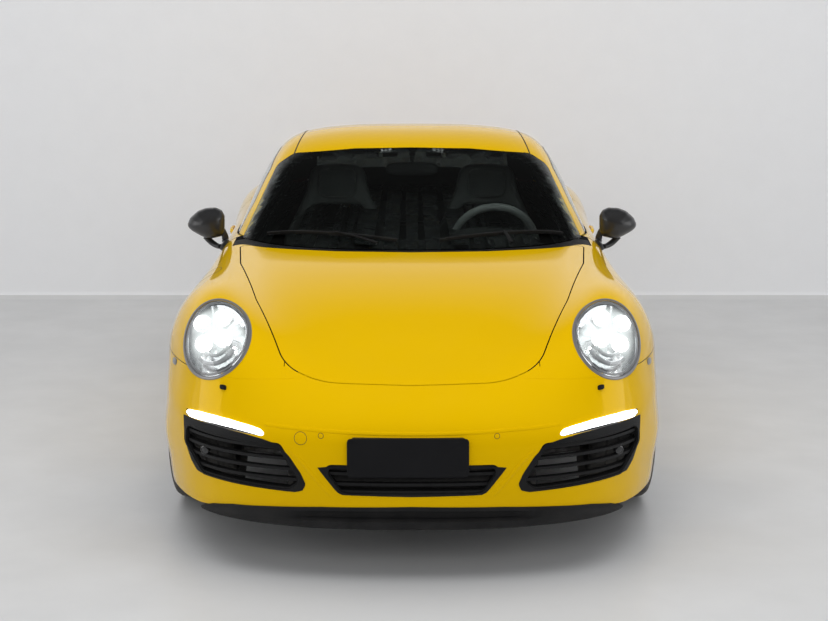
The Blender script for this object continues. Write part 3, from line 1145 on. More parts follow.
mirrorLoop = resample(roundedOutline([(a, b, 0.012) for a, b in mirror["outline"]], 0.003), mirror["steps"])


def mirrorRing(share, y):
    # the outline scaled about its middle, at a depth y that grows with x: the head is toed out
    flat = mirror["middle"] + (mirrorLoop - mirror["middle"]) * share
    toe = mirror["toeOut"] * (flat[:, 0] - mirror["middle"][0])
    return np.column_stack([flat[:, 0], station(mirror["station"]) + y + toe, flat[:, 1]])


def ringShape(rings):
    # a solid skin over rings of equal length
    return np.concatenate(rings), capped(len(rings), len(rings[0]))


# the dome's rings: share sin(t), depth -dome * cos(t)^0.9
domeRings = [mirrorRing(math.sin(t), -mirror["dome"] * math.cos(t) ** 0.9) for t in np.linspace(0.03, np.pi / 2,
                                                                                                16)]
housing = ringShape(domeRings + [mirrorRing(share, y) for share, y in mirror["rim"]])
glassPart = ringShape([mirrorRing(share, y) for share, y in mirror["glass"]])
footPlace = (station(mirror["footStation"]), mirror["footZ"])
foot = padOn(fromLeft, oval(*footPlace, 0.040, 0.020, 36, 2.6), 0.012, dome=0.004)
armBase = dropOn(fromLeft, [footPlace], 0.006)[0][0]
headY = station(mirror["station"]) + 0.004
arms = [tube(bezier([armBase + start, (middle[0], headY, middle[1]), (end[0], headY, end[1])]),
             np.linspace(*radii, 16), flatten=0.8) for start, middle, end, radii in mirror["arms"]]
for side, flip in bothSidesOfCar:
    body = side + "_door_set"
    newPiece(side + "MirrorShell", *flip(housing), "mirrorShell", body, replaced=[side + "_mirror"], sharp=40)
    newPiece(side + "MirrorArms", *flip(merged(foot, *arms)), "mirrorShell", body, sharp=50)
    newPiece(side + "MirrorGlass", *flip(glassPart), "mirrorFace", body, "polished_steel", sharp=40)
print("front ready")

# windscreen: black border under the glass, wipers, roof seams
screen = {"outer": [(0, 1.215, 0), (0.250, 1.211, 0.12), (0.516, 1.190, 0.1), (0.585, 1.149, 0.07),
                    (0.708, 0.868, 0.01), (0, 0.868, 0)],
          "inner": [(0, 1.190, 0), (0.240, 1.186, 0.12), (0.488, 1.166, 0.1), (0.546, 1.128, 0.08),
                    (0.640, 0.925, 0.04), (0.3, 0.9, 0.3), (0, 0.893, 0)],
          "steps": 260, "under": 0.0056, "thick": 0.0012,
          "seam": [(0.522, 1.165), (0.508, 1.325), (0.4945, 1.5), (0.489, 1.7), (0.486, 1.9), (0.481, 2.10)],
          "seamFrom": 1.168, "seamTo": 2.10}
outerLoop, innerLoop = (resample(roundedOutline(bothSides(screen[edge])), screen["steps"]) for edge in ("outer",
                                                                                                        "inner"))
near, far = -screen["under"], -screen["under"] - screen["thick"]
borderRings = []
for share, lift in ((0, near), (0.33, near), (0.66, near), (1, near), (1, far), (0.5, far), (0, far)):
    borderRings.append(dropOn(screenView, outerLoop * (1 - share) + innerLoop * share, lift)[0])
newPiece("screenBorder", np.concatenate(borderRings), gridFaces(7, screen["steps"], True, True), "frit", sharp=60)

seamParts = []
plan = np.array(screen["seam"])
s = np.linspace(screen["seamFrom"], screen["seamTo"], 50)
for sign in (1, -1):
    line = np.column_stack([sign * np.interp(s, plan[:, 1], plan[:, 0]), station(s)])
    path, normals = dropOn(roofView, line)
    seamParts.append(swept(path, beadProfile(0.0055, 0.0012, 0.003), normals))
newPiece("roofSeams", *merged(*seamParts), "rubber", sharp=40)

wiper = {"blades": [((0.615, 0.612), (0.110, 0.488)), ((-0.060, 0.487), (-0.590, 0.600))], "lift": 0.008,
         "pivots": [(0.40, 0.500), (-0.14, 0.470)], "armLift": 0.012, "armRadii": (0.010, 0.006),
         "profile": [(-0.004, -0.0075), (0.004, -0.0075), (0.0065, 0.0), (0.005, 0.007), (-0.003, 0.009),
                     (-0.0065, 0.002)]}
wiperParts = []
t = np.linspace(0, 1, 30)[:, None]
for (start, end), pivot in zip(wiper["blades"], wiper["pivots"]):
    flat = np.array(start) * (1 - t) + np.array(end) * t
    path, normals = dropOn(roofView, flat + (0, frontAxleY), wiper["lift"])
    wiperParts.append(swept(path, wiper["profile"], normals))
    hold = path[14] + wiper["armLift"] * normals[14]
    armFoot = dropOn(roofView, [(pivot[0], station(pivot[1]))], wiper["armLift"])[0][0]
    wiperParts.append(tube(bezier([armFoot, (armFoot + hold) / 2 + (0, 0, 0.008), hold]),
                           np.linspace(*wiper["armRadii"], 16), flatten=0.55))
newPiece("wiperArms", *merged(*wiperParts), "trim", replaced=["wipers"], sharp=45)
print("screen ready")

# tyres: the outline of a low-profile tyre turned about the axle, with ribs, grooves and shoulder blocks
tyreLook = {"steps": 360, "grooves": (-0.52, -0.18, 0.18, 0.52), "grooveWidth": 0.0045, "grooveDepth": 0.0055,
            "shoulderBlocks": 60, "slotShare": 0.16, "slotDepth": 0.0035, "beads": 0.0007}
wheelLook = {"pairs": 5, "lean": 13, "spokeWidth": 0.0135, "boltCircle": 0.052, "boltRadius": 0.0095,
             "frontInset": 0.022, "rearInset": 0.040, "rimRadius": 0.254, "lip": 0.84,
             "stations": 15, "sides": 16, "discFrom": -0.058, "holeRows": (0.112, 0.130, 0.148, 0.160),
             "holesPerRow": 15}


def tyreShape(middle, radius, width):
    # outline (along, radius) turned about the axle: (x + rib, r * sin(angle), r * cos(angle)), where r drops by the
    # depth of the grooves and shoulder slots, and ribs are a cosine of the radius on the side walls
    half = width / 2
    rim = wheelLook["rimRadius"] + 0.0004
    outline = [(-0.84, rim), (-0.86, rim + 0.004), (-0.97, rim + 0.022), (-1.0, radius - 0.048),
               (-0.985, radius - 0.031),
               (-0.94, radius - 0.018), (-0.82, radius - 0.007), (-0.62, radius - 0.0015), (0, radius)]
    outline = np.array(outline + [(-a, b) for a, b in outline[-2::-1]])
    outline[:, 0] *= half
    lengths = np.concatenate([[0], np.cumsum(np.linalg.norm(np.diff(outline, axis=0), axis=1))])
    s = np.unique(np.concatenate([np.linspace(0, lengths[-1], 62)] + [
        np.interp(g * half + np.array([-1.0, -0.8, 0.8, 1.0]) * tyreLook["grooveWidth"], outline[:, 0], lengths)
        for g in tyreLook["grooves"]]))
    across = np.interp(s, lengths, outline[:, 0])
    reach = np.interp(s, lengths, outline[:, 1])
    depth = np.zeros(len(s))
    for g in tyreLook["grooves"]:
        depth = np.where(np.abs(across - g * half) < tyreLook["grooveWidth"] * 0.9, tyreLook["grooveDepth"], depth)
    angle = np.linspace(0, 2 * np.pi, tyreLook["steps"], endpoint=False)
    turnShare = (angle[:, None] * tyreLook["shoulderBlocks"] / (2 * np.pi) + np.abs(across)[None] * 14) % 1
    tread = (reach > radius - 0.012)[None] & (np.abs(across) > 0.56 * half)[None]
    slots = np.where(tread & (turnShare < tyreLook["slotShare"]), tyreLook["slotDepth"], 0)
    wall = (reach < radius - 0.03) & (reach > rim + 0.02)
    ribs = np.where(wall, tyreLook["beads"] * np.cos((reach - rim) * 2 * np.pi / 0.012), 0)
    r = reach[None] - np.maximum(depth[None], slots)
    x = across + ribs * np.sign(across)
    points = np.stack([np.broadcast_to(middle[0] + x, r.shape), middle[1] + r * np.sin(angle)[:, None],
                       middle[2] + r * np.cos(angle)[:, None]], axis=2)
    return points.reshape(-1, 3), gridFaces(len(angle), len(s), True, True)


def wheelShape(middle, width, inset):
    # a turned barrel and hub, and spokes in pairs: squarish ovals along radial lines that lean apart outwards
    half, rim = width / 2, wheelLook["rimRadius"]
    x0 = wheelLook["lip"] * half
    barrel = [(-x0, rim - 0.0005), (x0, rim - 0.0005), (x0 + 0.003, rim - 0.002), (x0 + 0.005, rim - 0.006),
              (x0 + 0.003, rim - 0.011), (x0 - 0.010, rim - 0.014), (0.6 * half, rim - 0.018),
              (0.2 * half, rim - 0.030),
              (-0.5 * half, rim - 0.026), (-0.78 * half, rim - 0.014), (-x0, rim - 0.008)]
    parts = [turned(barrel, middle, xAxis, 120)]
    face = x0 - inset
    hub = [(face - 0.042, 0.070), (face - 0.008, 0.074), (face - 0.002, 0.070), (face, 0.060),
           (face - 0.004, 0.040),
           (face - 0.003, 0.034), (face + 0.004, 0.031), (face + 0.006, 0.026), (face + 0.0065, 0.0005),
           (face - 0.028, 0.0005),
           (face - 0.029, 0.060)]
    parts.append(turned(hub, middle, xAxis, 72))
    stations, sides = wheelLook["stations"], wheelLook["sides"]
    t = np.linspace(0, 1, stations)
    radii = 0.058 + t * (rim - 0.076 + 0.012)
    # section half sizes and the place of the middle line along the axle, as functions of t from hub to rim
    thick = 0.017 - 0.004 * t
    wide = wheelLook["spokeWidth"] * (1.0 - 0.18 * np.sin(np.pi * t)) + 0.004 * t ** 6
    bow = face - thick - 0.003 - 0.010 * np.sin(np.pi * t) * 0.6 + 0.004 * t
    profile = oval(0, 0, 1, 1, sides, 3.2)
    for pair in range(wheelLook["pairs"]):
        for lean in (-1, 1):
            angle = math.radians(72 * pair) + lean * math.radians(wheelLook["lean"]) * (0.62 + 0.38 * t ** 1.2)
            radial = np.column_stack([0 * t, np.sin(angle), np.cos(angle)])
            tangent = np.column_stack([0 * t, np.cos(angle), -np.sin(angle)])
            centre = np.array(middle) + radii[:, None] * radial + np.column_stack([bow, 0 * t, 0 * t])
            points = (centre[:, None] + (profile[None, :, :1] * wide[:, None, None]) * tangent[:, None]
                      + profile[None, :, 1:2] * thick[:, None, None] * np.array(xAxis))
            parts.append((points.reshape(-1, 3), capped(stations, sides)))
        boltAngle = math.radians(72 * pair + 36)
        seat = np.array(middle) + (face - 0.006, wheelLook["boltCircle"] * math.sin(boltAngle),
                                   wheelLook["boltCircle"] * math.cos(boltAngle))
        parts.append(turned([(-0.004, 0.0004), (-0.004, 0.0125), (0.002, 0.0125), (0.003, wheelLook["boltRadius"]),
                             (0.011, 0.009), (0.012, 0.007), (0.012, 0.0004)], seat, xAxis, 12))
    return merged(*parts)


def discShape(middle, reach, face):
    # a turned disc with its bell, then rows of small domes for the drilled holes
    x = wheelLook["discFrom"]
    ring = [(x, reach - 0.004), (x + 0.001, reach), (x + 0.010, reach), (x + 0.011, reach - 0.006),
            (x + 0.023, reach - 0.006),
            (x + 0.024, reach), (x + 0.033, reach), (x + 0.034, reach - 0.004), (x + 0.034, 0.098),
            (face - 0.044, 0.094),
            (face - 0.0425, 0.090), (face - 0.0425, 0.001), (face - 0.056, 0.001), (face - 0.056, 0.086),
            (x, 0.086)]
    parts = [turned(ring, middle, xAxis, 96)]
    for row, radius in enumerate(wheelLook["holeRows"]):
        for k in range(wheelLook["holesPerRow"]):
            angle = 2 * np.pi * (k + row * 0.27) / wheelLook["holesPerRow"]
            seat = np.array(middle) + (x + 0.0342, radius * math.sin(angle), radius * math.cos(angle))
            parts.append(turned([(-0.0006, 0.0002), (-0.0006, 0.0034), (0.0003, 0.0028), (0.0002, 0.0002)], seat,
                                xAxis, 10))
    return parts


for end, inset in (("front", wheelLook["frontInset"]), ("rear", wheelLook["rearInset"])):
    low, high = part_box(end + "_left_tyre")
    middle = ((low[0] + high[0]) / 2, (low[1] + high[1]) / 2, (low[2] + high[2]) / 2)
    radius, width = (high[2] - low[2]) / 2, high[0] - low[0]
    discLow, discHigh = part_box(end + "_left_brake_disc")
    discReach = (discHigh[2] - discLow[2]) / 2
    tyrePart, wheelPart = tyreShape(middle, radius, width), wheelShape(middle, width, inset)
    discParts = discShape(middle, discReach, wheelLook["lip"] * width / 2 - inset)
    for side, flip in bothSidesOfCar:
        body = end + "_" + side + "_road_wheel"
        name = end + side.capitalize()
        newPiece(name + "Tyre", *flip(tyrePart), "tyre", body, "tyre", [end + "_" + side + "_tyre"], sharp=35)
        newPiece(name + "Rim", *flip(wheelPart), "alloy", body, "alloy", [end + "_" + side + "_wheel"], sharp=40)
        newPiece(name + "Disc", *flip(discParts[0]), "disc", body, "disc_iron", [end + "_" + side + "_brake_disc"],
                 sharp=40)
        newPiece(name + "DiscHoles", *flip(merged(*discParts[1:])), "rubber", body, "disc_iron", sharp=40)
print("wheels ready")

# wheel arch liners: half drums above each wheel, (x, r * sin(angle), r * cos(angle)), with a ribbed inner face
arch = {"drums": [(frontAxleY, 0.340, 0.403, 0.826), (rearAxleY, 0.3455, 0.386, 0.845)], "inner": 0.50, "reach": 84,
        "wall": 0.006, "rib": 0.0012, "ribs": 40}
liners = []
for axleY, hubZ, radius, outerX in arch["drums"]:
    angle = np.radians(np.linspace(-arch["reach"], arch["reach"], 73))[:, None]
    xs = np.concatenate([np.linspace(arch["inner"], outerX, 12), np.linspace(outerX, arch["inner"], 12)])
    inside = (np.arange(24) < 12)[None]
    r = radius + np.where(inside, 0, arch["wall"]) - np.where(inside,
                                                              arch["rib"] * np.cos(angle * arch["ribs"]) ** 8, 0)
    points = np.stack([np.broadcast_to(xs, r.shape), axleY + r * np.sin(angle), hubZ + r * np.cos(angle)], axis=2)
    liners.append(pairOf((points.reshape(-1, 3), capped(73, 24))))
newPiece("archLiners", *merged(*liners), "underbody", slot="underbody", sharp=50)

# dashboard, console, steering wheel and cabin mirror
dash = {"halfWidth": 0.607, "hoodX": 0.355, "hoodHalf": 0.19, "hoodRise": 0.052, "hoodDepth": 0.03,
        "sideDrop": 0.05}
dashOutline = [(0.668, 0.835, 0), (0.700, 0.853, 0), (0.745, 0.866, 0.45), (0.785, 0.868, 1), (0.800, 0.862, 1),
               (0.806, 0.848, 1), (0.798, 0.838, 0.85), (0.790, 0.815, 0.1), (0.800, 0.760, 0), (0.802, 0.720, 0),
               (0.790, 0.680, 0), (0.745, 0.640, 0), (0.700, 0.600, 0), (0.660, 0.610, 0)]


def dashShape():
    # an outline (station, z, share of the hood) carried across the car: the hood exp(-|x|^5) lifts the part of the
    # top that has a share, the ends draw in and the top falls away as x^4
    xs = np.linspace(-dash["halfWidth"], dash["halfWidth"], 101)
    ends = np.clip((dash["halfWidth"] - np.abs(xs)) / 0.05, 0, 1) ** 0.5
    hood = np.exp(-np.abs((xs - dash["hoodX"]) / dash["hoodHalf"]) ** 5)
    fall = dash["sideDrop"] * (np.abs(xs) / dash["halfWidth"]) ** 4
    rings = []
    for s, z, share in dashOutline:
        rise = (z - 0.73) * (0.92 + 0.08 * ends) + dash["hoodRise"] * share * hood - fall * (z > 0.8)
        rings.append(np.column_stack([xs, station(s) + dash["hoodDepth"] * share * hood, 0.73 + rise]))
    return np.stack(rings, axis=1).reshape(-1, 3), capped(len(xs), len(dashOutline))


def roundedBar(places, halfWidths, halfHeights, power=4.0):
    # a bar along places whose section is a squarish oval across x and z
    steps = 28
    section = oval(0, 0, 1, 1, steps, power)
    places, a, b = (np.asarray(v, float) for v in (places, halfWidths, halfHeights))
    points = places[:, None] + np.stack([a[:, None] * section[None, :, 0], np.zeros((len(a), steps)),
                                         b[:, None] * section[None, :, 1]], axis=2)
    return points.reshape(-1, 3), capped(len(places), steps)


s = np.array([0.700, 0.76, 0.83, 0.95, 1.10, 1.30, 1.44, 1.485, 1.495])
heights = np.array([0.20, 0.17, 0.115, 0.085, 0.083, 0.083, 0.088, 0.08, 0.06])
console = roundedBar(np.column_stack([0 * s, station(s), 0.302 + heights]),
                     np.array([.1, .105, .105, .1, .1, .1, .1, .095, .07]),
                     heights)
s = np.array([1.17, 1.172, 1.20, 1.34, 1.45, 1.452])
armRest = roundedBar(np.column_stack([0 * s, station(s), 0 * s + 0.487]),
                     np.array([.04, .06, .065, .065, .06, .04]),
                     np.array([.01, .016, .02, .02, .016, .01]), power=3.0)
lever = tube([(0, station(1.05), 0.46), (0, station(1.048), 0.50), (0, station(1.04), 0.545)],
             [0.008, 0.006, 0.006])
knob = turned([(-0.03, 0.0005), (-0.028, 0.013), (-0.01, 0.020), (0.008, 0.021), (0.02, 0.016), (0.025, 0.0005)],
              (0, station(1.036), 0.565), (0, -0.1, 1), 24)
newPiece("dashTop", *dashShape(), "dash", slot="dash_trim", replaced=["dashboard"], sharp=60)
newPiece("console", *merged(console, armRest), "leather", slot="dash_trim", sharp=45)
newPiece("gearLever", *merged(lever, knob), "glossBlack", slot="dash_trim", sharp=50)
ventParts = []
for x in (-0.50, -0.115, 0.115):
    points, faces = plateShape(oval(x, 0.775, 0.055, 0.030, 36, 4.0), -station(0.812), -station(0.795), 0.003)
    ventParts.append((points * (1, -1, 1), faces))
newPiece("dashVents", *merged(*ventParts), "glossBlack", slot="dash_trim", sharp=40)

steer = {"middle": np.array([0.355, station(0.975), 0.826]), "axis": unit((0, 0.92, 0.38)), "radius": 0.178,
         "grip": 0.0155, "spokes": (0, 180, 270), "spokeReach": 0.168}
t = np.linspace(0, 2 * np.pi, 18, endpoint=False)
gripSection = np.column_stack([np.sin(t) * steer["grip"] * 1.1, steer["radius"] + np.cos(t) * steer["grip"]])
rimPart = turned(gripSection, steer["middle"], steer["axis"], 96)
upWay = np.cross(xAxis, steer["axis"])
upWay = upWay * np.sign(upWay[2])
spokeParts = []
for angle in steer["spokes"]:
    way = math.cos(math.radians(angle)) * np.array(xAxis) + math.sin(math.radians(angle)) * upWay
    line = bezier([steer["middle"] + reach * way - back * steer["axis"]
                   for reach, back in ((0.035, 0.012), (0.10, 0.014), (steer["spokeReach"], 0))])
    spokeParts.append(tube(line, np.linspace(0.026, 0.014, 16), flatten=0.4))
hubPart = turned([(-0.030, 0.0005), (-0.030, 0.045), (-0.012, 0.060), (0.006, 0.058), (0.014, 0.045),
                  (0.018, 0.0005)],
                 steer["middle"], steer["axis"], 40)
columnPart = turned([(-0.165, 0.0005), (-0.165, 0.034), (-0.06, 0.040), (-0.028, 0.036), (-0.028, 0.0005)],
                    steer["middle"],
                    steer["axis"], 28)
stalks = [tube(bezier([steer["middle"] + sign * np.array([x, 0, 0]) - back * steer["axis"]
                       for x, back in ((0, 0.06), (0.06, 0.05), (0.135, 0.035))]), np.linspace(0.006, 0.008, 16))
          for sign in (1, -1)]
newPiece("steeringWheel", *merged(rimPart, hubPart, *spokeParts), "leather", slot="dash_trim",
         replaced=["steering_wheel"], sharp=60)
newPiece("steeringColumn", *merged(columnPart, *stalks), "dash", slot="dash_trim", sharp=50)
s = np.linspace(-1, 1, 15)
swell = (1 - s ** 6) ** 0.25
mirrorHead = roundedBar(np.column_stack([0 * s, station(1.282) + 0.013 * s, 0 * s + 1.114]),
                        0.116 * swell * 0.99 + 0.001, 0.029 * swell * 0.98 + 0.0005, power=3.5)
stem = tube([(0, station(1.285), 1.118), (0, station(1.287), 1.17), (0, station(1.292), 1.217)],
            [0.011, 0.009, 0.013])
newPiece("cabinMirror", *merged(mirrorHead, stem), "trim", replaced=["interior_mirror"], sharp=50)
s = np.array([1.318, 1.322, 1.36, 1.44, 1.478, 1.482])
overhead = roundedBar(np.column_stack([0 * s, station(s), np.array([1.214, 1.214, 1.2165, 1.2185, 1.218, 1.218])]),
                      np.array([0.12, 0.145, 0.15, 0.145, 0.13, 0.11]),
                      np.array([.004, .008, .01, .01, .008, .004]))
newPiece("overheadConsole", *overhead, "dash", slot="dash_trim", sharp=50)
dots = []
for sign in (1, -1):
    for k in (-1, 0, 1):
        dots.append(turned([(-0.004, 0.0003), (-0.004, 0.0045), (0.002, 0.004), (0.003, 0.0003)],
                           (sign * 0.118 + k * 0.016, station(1.3175), 1.2115), (0, -1, -0.25), 12))
newPiece("readingLights", *merged(*dots), "daylight", slot="lamp_white", sharp=50)
print("dashboard ready")

# bucket seats: shell back with an opening below the head, tub base, side rails and leather pads
seat = {"x": 0.350, "lean": math.radians(13), "hip": (station(1.5), 0.330), "backThick": 0.070, "steps": 200,
        "outer": [(0.198, 0.262, 0.03), (0.236, 0.560, 0.12), (0.252, 0.760, 0.09), (0.150, 0.985, 0.16),
                  (0.122, 1.115, 0.06),
                  (0, 1.122, 0)],
        "opening": [(0.172, 0.822, 0.02), (0.172, 0.852, 0.02), (0.104, 0.930, 0.024), (0, 0.930, 0)]}


def halfLoop(corners):
    # a half outline and its mirror image, starting at the bottom middle
    return [(0, corners[0][1], 0)] + bothSides(corners)


def leaned(points):
    # turns the points of an upright back about the hip line
    y, z = points[:, 1] - seat["hip"][0], points[:, 2] - seat["hip"][1]
    c, s = math.cos(seat["lean"]), math.sin(seat["lean"])
    return np.column_stack([points[:, 0], seat["hip"][0] + y * c + z * s, seat["hip"][1] - y * s + z * c])


# the back: rings between its outline and its opening, pushed out by a rounded section and hollowed towards its sides
outerBack, innerBack = (resample(roundedOutline(halfLoop(seat[edge])), seat["steps"]) for edge in ("outer",
                                                                                                   "opening"))
backRings = []
for share, out in ((0, -0.5), (0.02, -0.15), (0.06, 0.2), (0.15, 0.42), (0.4, 0.5), (0.75, 0.45), (0.93, 0.3),
                   (0.985, 0.0), (1.0, -0.5), (0.985, -0.9), (0.7, -1.0), (0.3, -1.0), (0.06, -0.95), (0.02, -0.8)):
    flat = outerBack * (1 - share) + innerBack * share
    fromMiddle = np.abs(flat[:, 0]) / 0.25
    bucket = np.where(flat[:, 1] < 0.86, 0.055 * fromMiddle ** 2.2, 0.02 * fromMiddle ** 2)
    y = seat["hip"][0] + 0.045 - seat["backThick"] * 0.55 * (out + 0.25) - bucket
    backRings.append(np.column_stack([flat[:, 0], y, flat[:, 1]]))
backPoints = leaned(np.concatenate(backRings)) + (seat["x"], 0, 0)
backPart = (backPoints, gridFaces(len(backRings), seat["steps"], True, True))
# the tub: squarish ovals that grow and shrink with height, raised at both sides
tubRings = []
for grow, z, raised in ((0.80, 0.206, 0), (0.93, 0.212, 0), (0.985, 0.25, 0), (1.0, 0.30, 0.3), (1.0, 0.33, 0.75),
                        (0.985, 0.342, 1),
                        (0.94, 0.346, 1), (0.88, 0.338, 1), (0.82, 0.318, 0.5), (0.78, 0.30, 0), (0.05, 0.285, 0)):
    ring = oval(0, 0, 0.206 * grow, 0.246 * grow, 72, 4.5)
    lift = 0.042 * raised * np.clip((np.abs(ring[:, 0]) - 0.12) / 0.07, 0, 1)
    tubRings.append(np.column_stack([seat["x"] + ring[:, 0], station(1.256) + ring[:, 1],
                                     z + lift - 0.022 * (ring[:, 1] > -0.1) * grow * raised]))
tub = ringShape(tubRings)
rails = [roundedBar([(seat["x"] + dx, station(s), 0.190) for s in (1.06, 1.062, 1.43, 1.432)],
                    [.012, .018, .018, .012], [.018, .024, .024, .018]) for dx in (-0.175, 0.175)]


def padShape(halfA, halfB, thick):
    # a crowned, closed pad lying flat: rings of a squarish oval; the top swells and the edge is round
    power, crown, steps = 4.5, 0.55, 64
    rings = []
    for share, level in ((0.03, 0), (0.6, 0), (0.93, 0.04), (1.0, 0.30), (1.0, 0.55), (0.96, 0.80), (0.86, 0.92),
                         (0.6, 0.98), (0.03, 1.0)):
        ring = oval(0, 0, halfA * share, halfB * share, steps, power)
        swell = crown * thick * (1 - share ** 2) * (level > 0.7)
        rings.append(np.column_stack([ring, np.full(steps, level * thick * (1 - crown) + swell)]))
    return ringShape(rings)


def placed(part, origin, alongA, alongB):
    # lays a flat shape into space: its first way along alongA, its second along alongB, its thickness square to both
    points, faces = part
    a, b = unit(alongA), unit(alongB)
    return np.array(origin) + points[:, :1] * a + points[:, 1:2] * b + points[:, 2:3] * np.cross(a, b), faces


cushion = {"voxel": 0.009, "pressure": 3.0, "quality": 5, "frames": 20, "smoothing": 3}


def applied(piece, modifier):
    # turns a modifier's result into the piece's own mesh
    with bpy.context.temp_override(object=piece, active_object=piece):
        bpy.ops.object.modifier_apply(modifier=modifier.name)


def stuffed(piece, cap):
    # cloth inflated by pressure, each point's movement cut off at a cap, then smoothed
    bpy.context.view_layer.objects.active = piece
    remesh = piece.modifiers.new("remesh", "REMESH")
    remesh.mode = "VOXEL"
    remesh.voxel_size = cushion["voxel"]
    applied(piece, remesh)
    before = readInto(piece.data.vertices, "co", float, 3)
    cloth = piece.modifiers.new("cloth", "CLOTH")
    cloth.settings.use_pressure = True
    cloth.settings.uniform_pressure_force = cushion["pressure"]
    cloth.settings.quality = cushion["quality"]
    cloth.settings.effector_weights.gravity = 0
    cloth.point_cache.frame_end = cushion["frames"]
    for number in range(1, cushion["frames"] + 1):
        bpy.context.scene.frame_set(number)
    evaluated = piece.evaluated_get(bpy.context.evaluated_depsgraph_get())
    move = readInto(evaluated.data.vertices, "co", float, 3) - before
    bpy.context.scene.frame_set(1)
    piece.modifiers.remove(cloth)
    move *= np.minimum(1, cap / np.maximum(np.linalg.norm(move, axis=1, keepdims=True), 1e-9))
    piece.data.vertices.foreach_set("co", (before + move).ravel())
    soften = piece.modifiers.new("smooth", "SMOOTH")
    soften.iterations = cushion["smoothing"]
    piece.data.polygons.foreach_set("use_smooth", np.full(len(piece.data.polygons), True))
    applied(piece, soften)


def mirroredPiece(piece, name):
    # a copy across the car's middle plane, its faces turned round again
    mesh = piece.data.copy()
    mesh.vertices.foreach_set("co", (readInto(mesh.vertices, "co", float, 3) * (-1, 1, 1)).ravel())
    mesh.flip_normals()
    twin = bpy.data.objects.new(name, mesh)
    bpy.context.scene.collection.objects.link(twin)
    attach(twin, "shell")
    return twin


backUp = np.array([0, math.sin(seat["lean"]), math.cos(seat["lean"])])
pads = {
    "SeatPad": (padShape(0.158, 0.205, 0.075), (seat["x"], station(1.27), 0.296), xAxis, yAxis, 0.010),
    "BackPad": (padShape(0.150, 0.190, 0.050), (seat["x"], station(1.528), 0.560), (-1, 0, 0), backUp, 0.008),
    "HeadPad": (padShape(0.092, 0.072, 0.040), (seat["x"], station(1.632), 1.012), (-1, 0, 0), backUp, 0.006),
    "RearPad": (padShape(0.205, 0.125, 0.060), (0.335, station(1.905), 0.392), xAxis, yAxis, 0.010),
    "RearBackPad": (padShape(0.205, 0.160, 0.050), (0.335, station(2.012), 0.590), (-1, 0, 0), (0, 0.12, 1), 0.008)}
for side, flip in bothSidesOfCar:
    newPiece(side + "SeatBack", *flip(backPart), "leather", slot="seat_cover", replaced=[side + "_seat"], sharp=60)
    newPiece(side + "SeatTub", *flip(tub), "leather", slot="seat_cover", sharp=60)
    newPiece(side + "SeatRails", *flip(merged(*rails)), "axle", slot="seat_cover", sharp=45)
for label, (shape, origin, a, b, cap) in pads.items():
    pad = newPiece("left" + label, *placed(shape, origin, a, b), "cloth", slot="seat_cover", sharp=80)
    stuffed(pad, cap)
    mirroredPiece(pad, "right" + label)
    print("padded", label)

# rear bench shell, shelf behind it and side linings
benchProfile = [(1.868, 0.305), (1.862, 0.34), (1.868, 0.385), (1.885, 0.396), (1.97, 0.394), (1.985, 0.42),
                (1.992, 0.60),
                (1.994, 0.742), (2.005, 0.757), (2.034, 0.757), (2.036, 0.60), (2.036, 0.305)]
shelfProfile = [(2.042, 0.60), (2.060, 0.60), (2.066, 0.760), (2.10, 0.782), (2.30, 0.796), (2.58, 0.806),
                (2.585, 0.800),
                (2.58, 0.792), (2.30, 0.782), (2.12, 0.768), (2.042, 0.770)]


def barAcross(profile, halfWidth, crown=0.0, count=25):
    # an outline of (station, z) carried across the car, its ends rounded off
    x = np.linspace(-1, 1, count)
    x = np.sign(x) * (1 - (1 - np.abs(x)) ** 1.6)
    profile = np.array(profile)
    centre = profile.mean(0)
    shrink = 1 - 0.06 * np.clip((np.abs(x) - 0.93) / 0.07, 0, 1) ** 2
    points = np.zeros((count, len(profile), 3))
    for k, (s, z) in enumerate(profile):
        points[:, k] = np.column_stack([x * halfWidth, station(centre[0] + (s - centre[0]) * shrink),
                                        centre[1] + (z - centre[1]) * shrink - crown * x ** 4])
    return points.reshape(-1, 3), capped(count, len(profile))


newPiece("rearBench", *barAcross(benchProfile, 0.585), "leather", slot="seat_cover", replaced=["rear_seats"],
         sharp=50)
newPiece("rearShelf", *barAcross(shelfProfile, 0.575, 0.02), "cloth", slot="seat_cover", sharp=50)
# bulkhead behind the shelf: columns from the shelf up to a line that follows the rear window
bulkhead = {"x": [0, 0.3, 0.45, 0.52, 0.56, 0.60, 0.625], "top": [0.985, 0.980, 0.962, 0.930, 0.885, 0.822, 0.787],
            "bottom": 0.786, "section": [(2.586, 0), (2.586, 0.5), (2.588, 0.97), (2.592, 1), (2.597, 0.97),
                                         (2.597, 0)]}
xs = np.linspace(-bulkhead["x"][-1], bulkhead["x"][-1], 41)
rise = np.interp(np.abs(xs), bulkhead["x"], bulkhead["top"]) - bulkhead["bottom"]
grid = np.stack([np.column_stack([xs, np.full(41, station(s)), bulkhead["bottom"] + rise * share])
                 for s, share in bulkhead["section"]], axis=1)
newPiece("rearBulkhead", grid.reshape(-1, 3), capped(41, 6), "cabinSkin", slot="seat_cover", sharp=40)
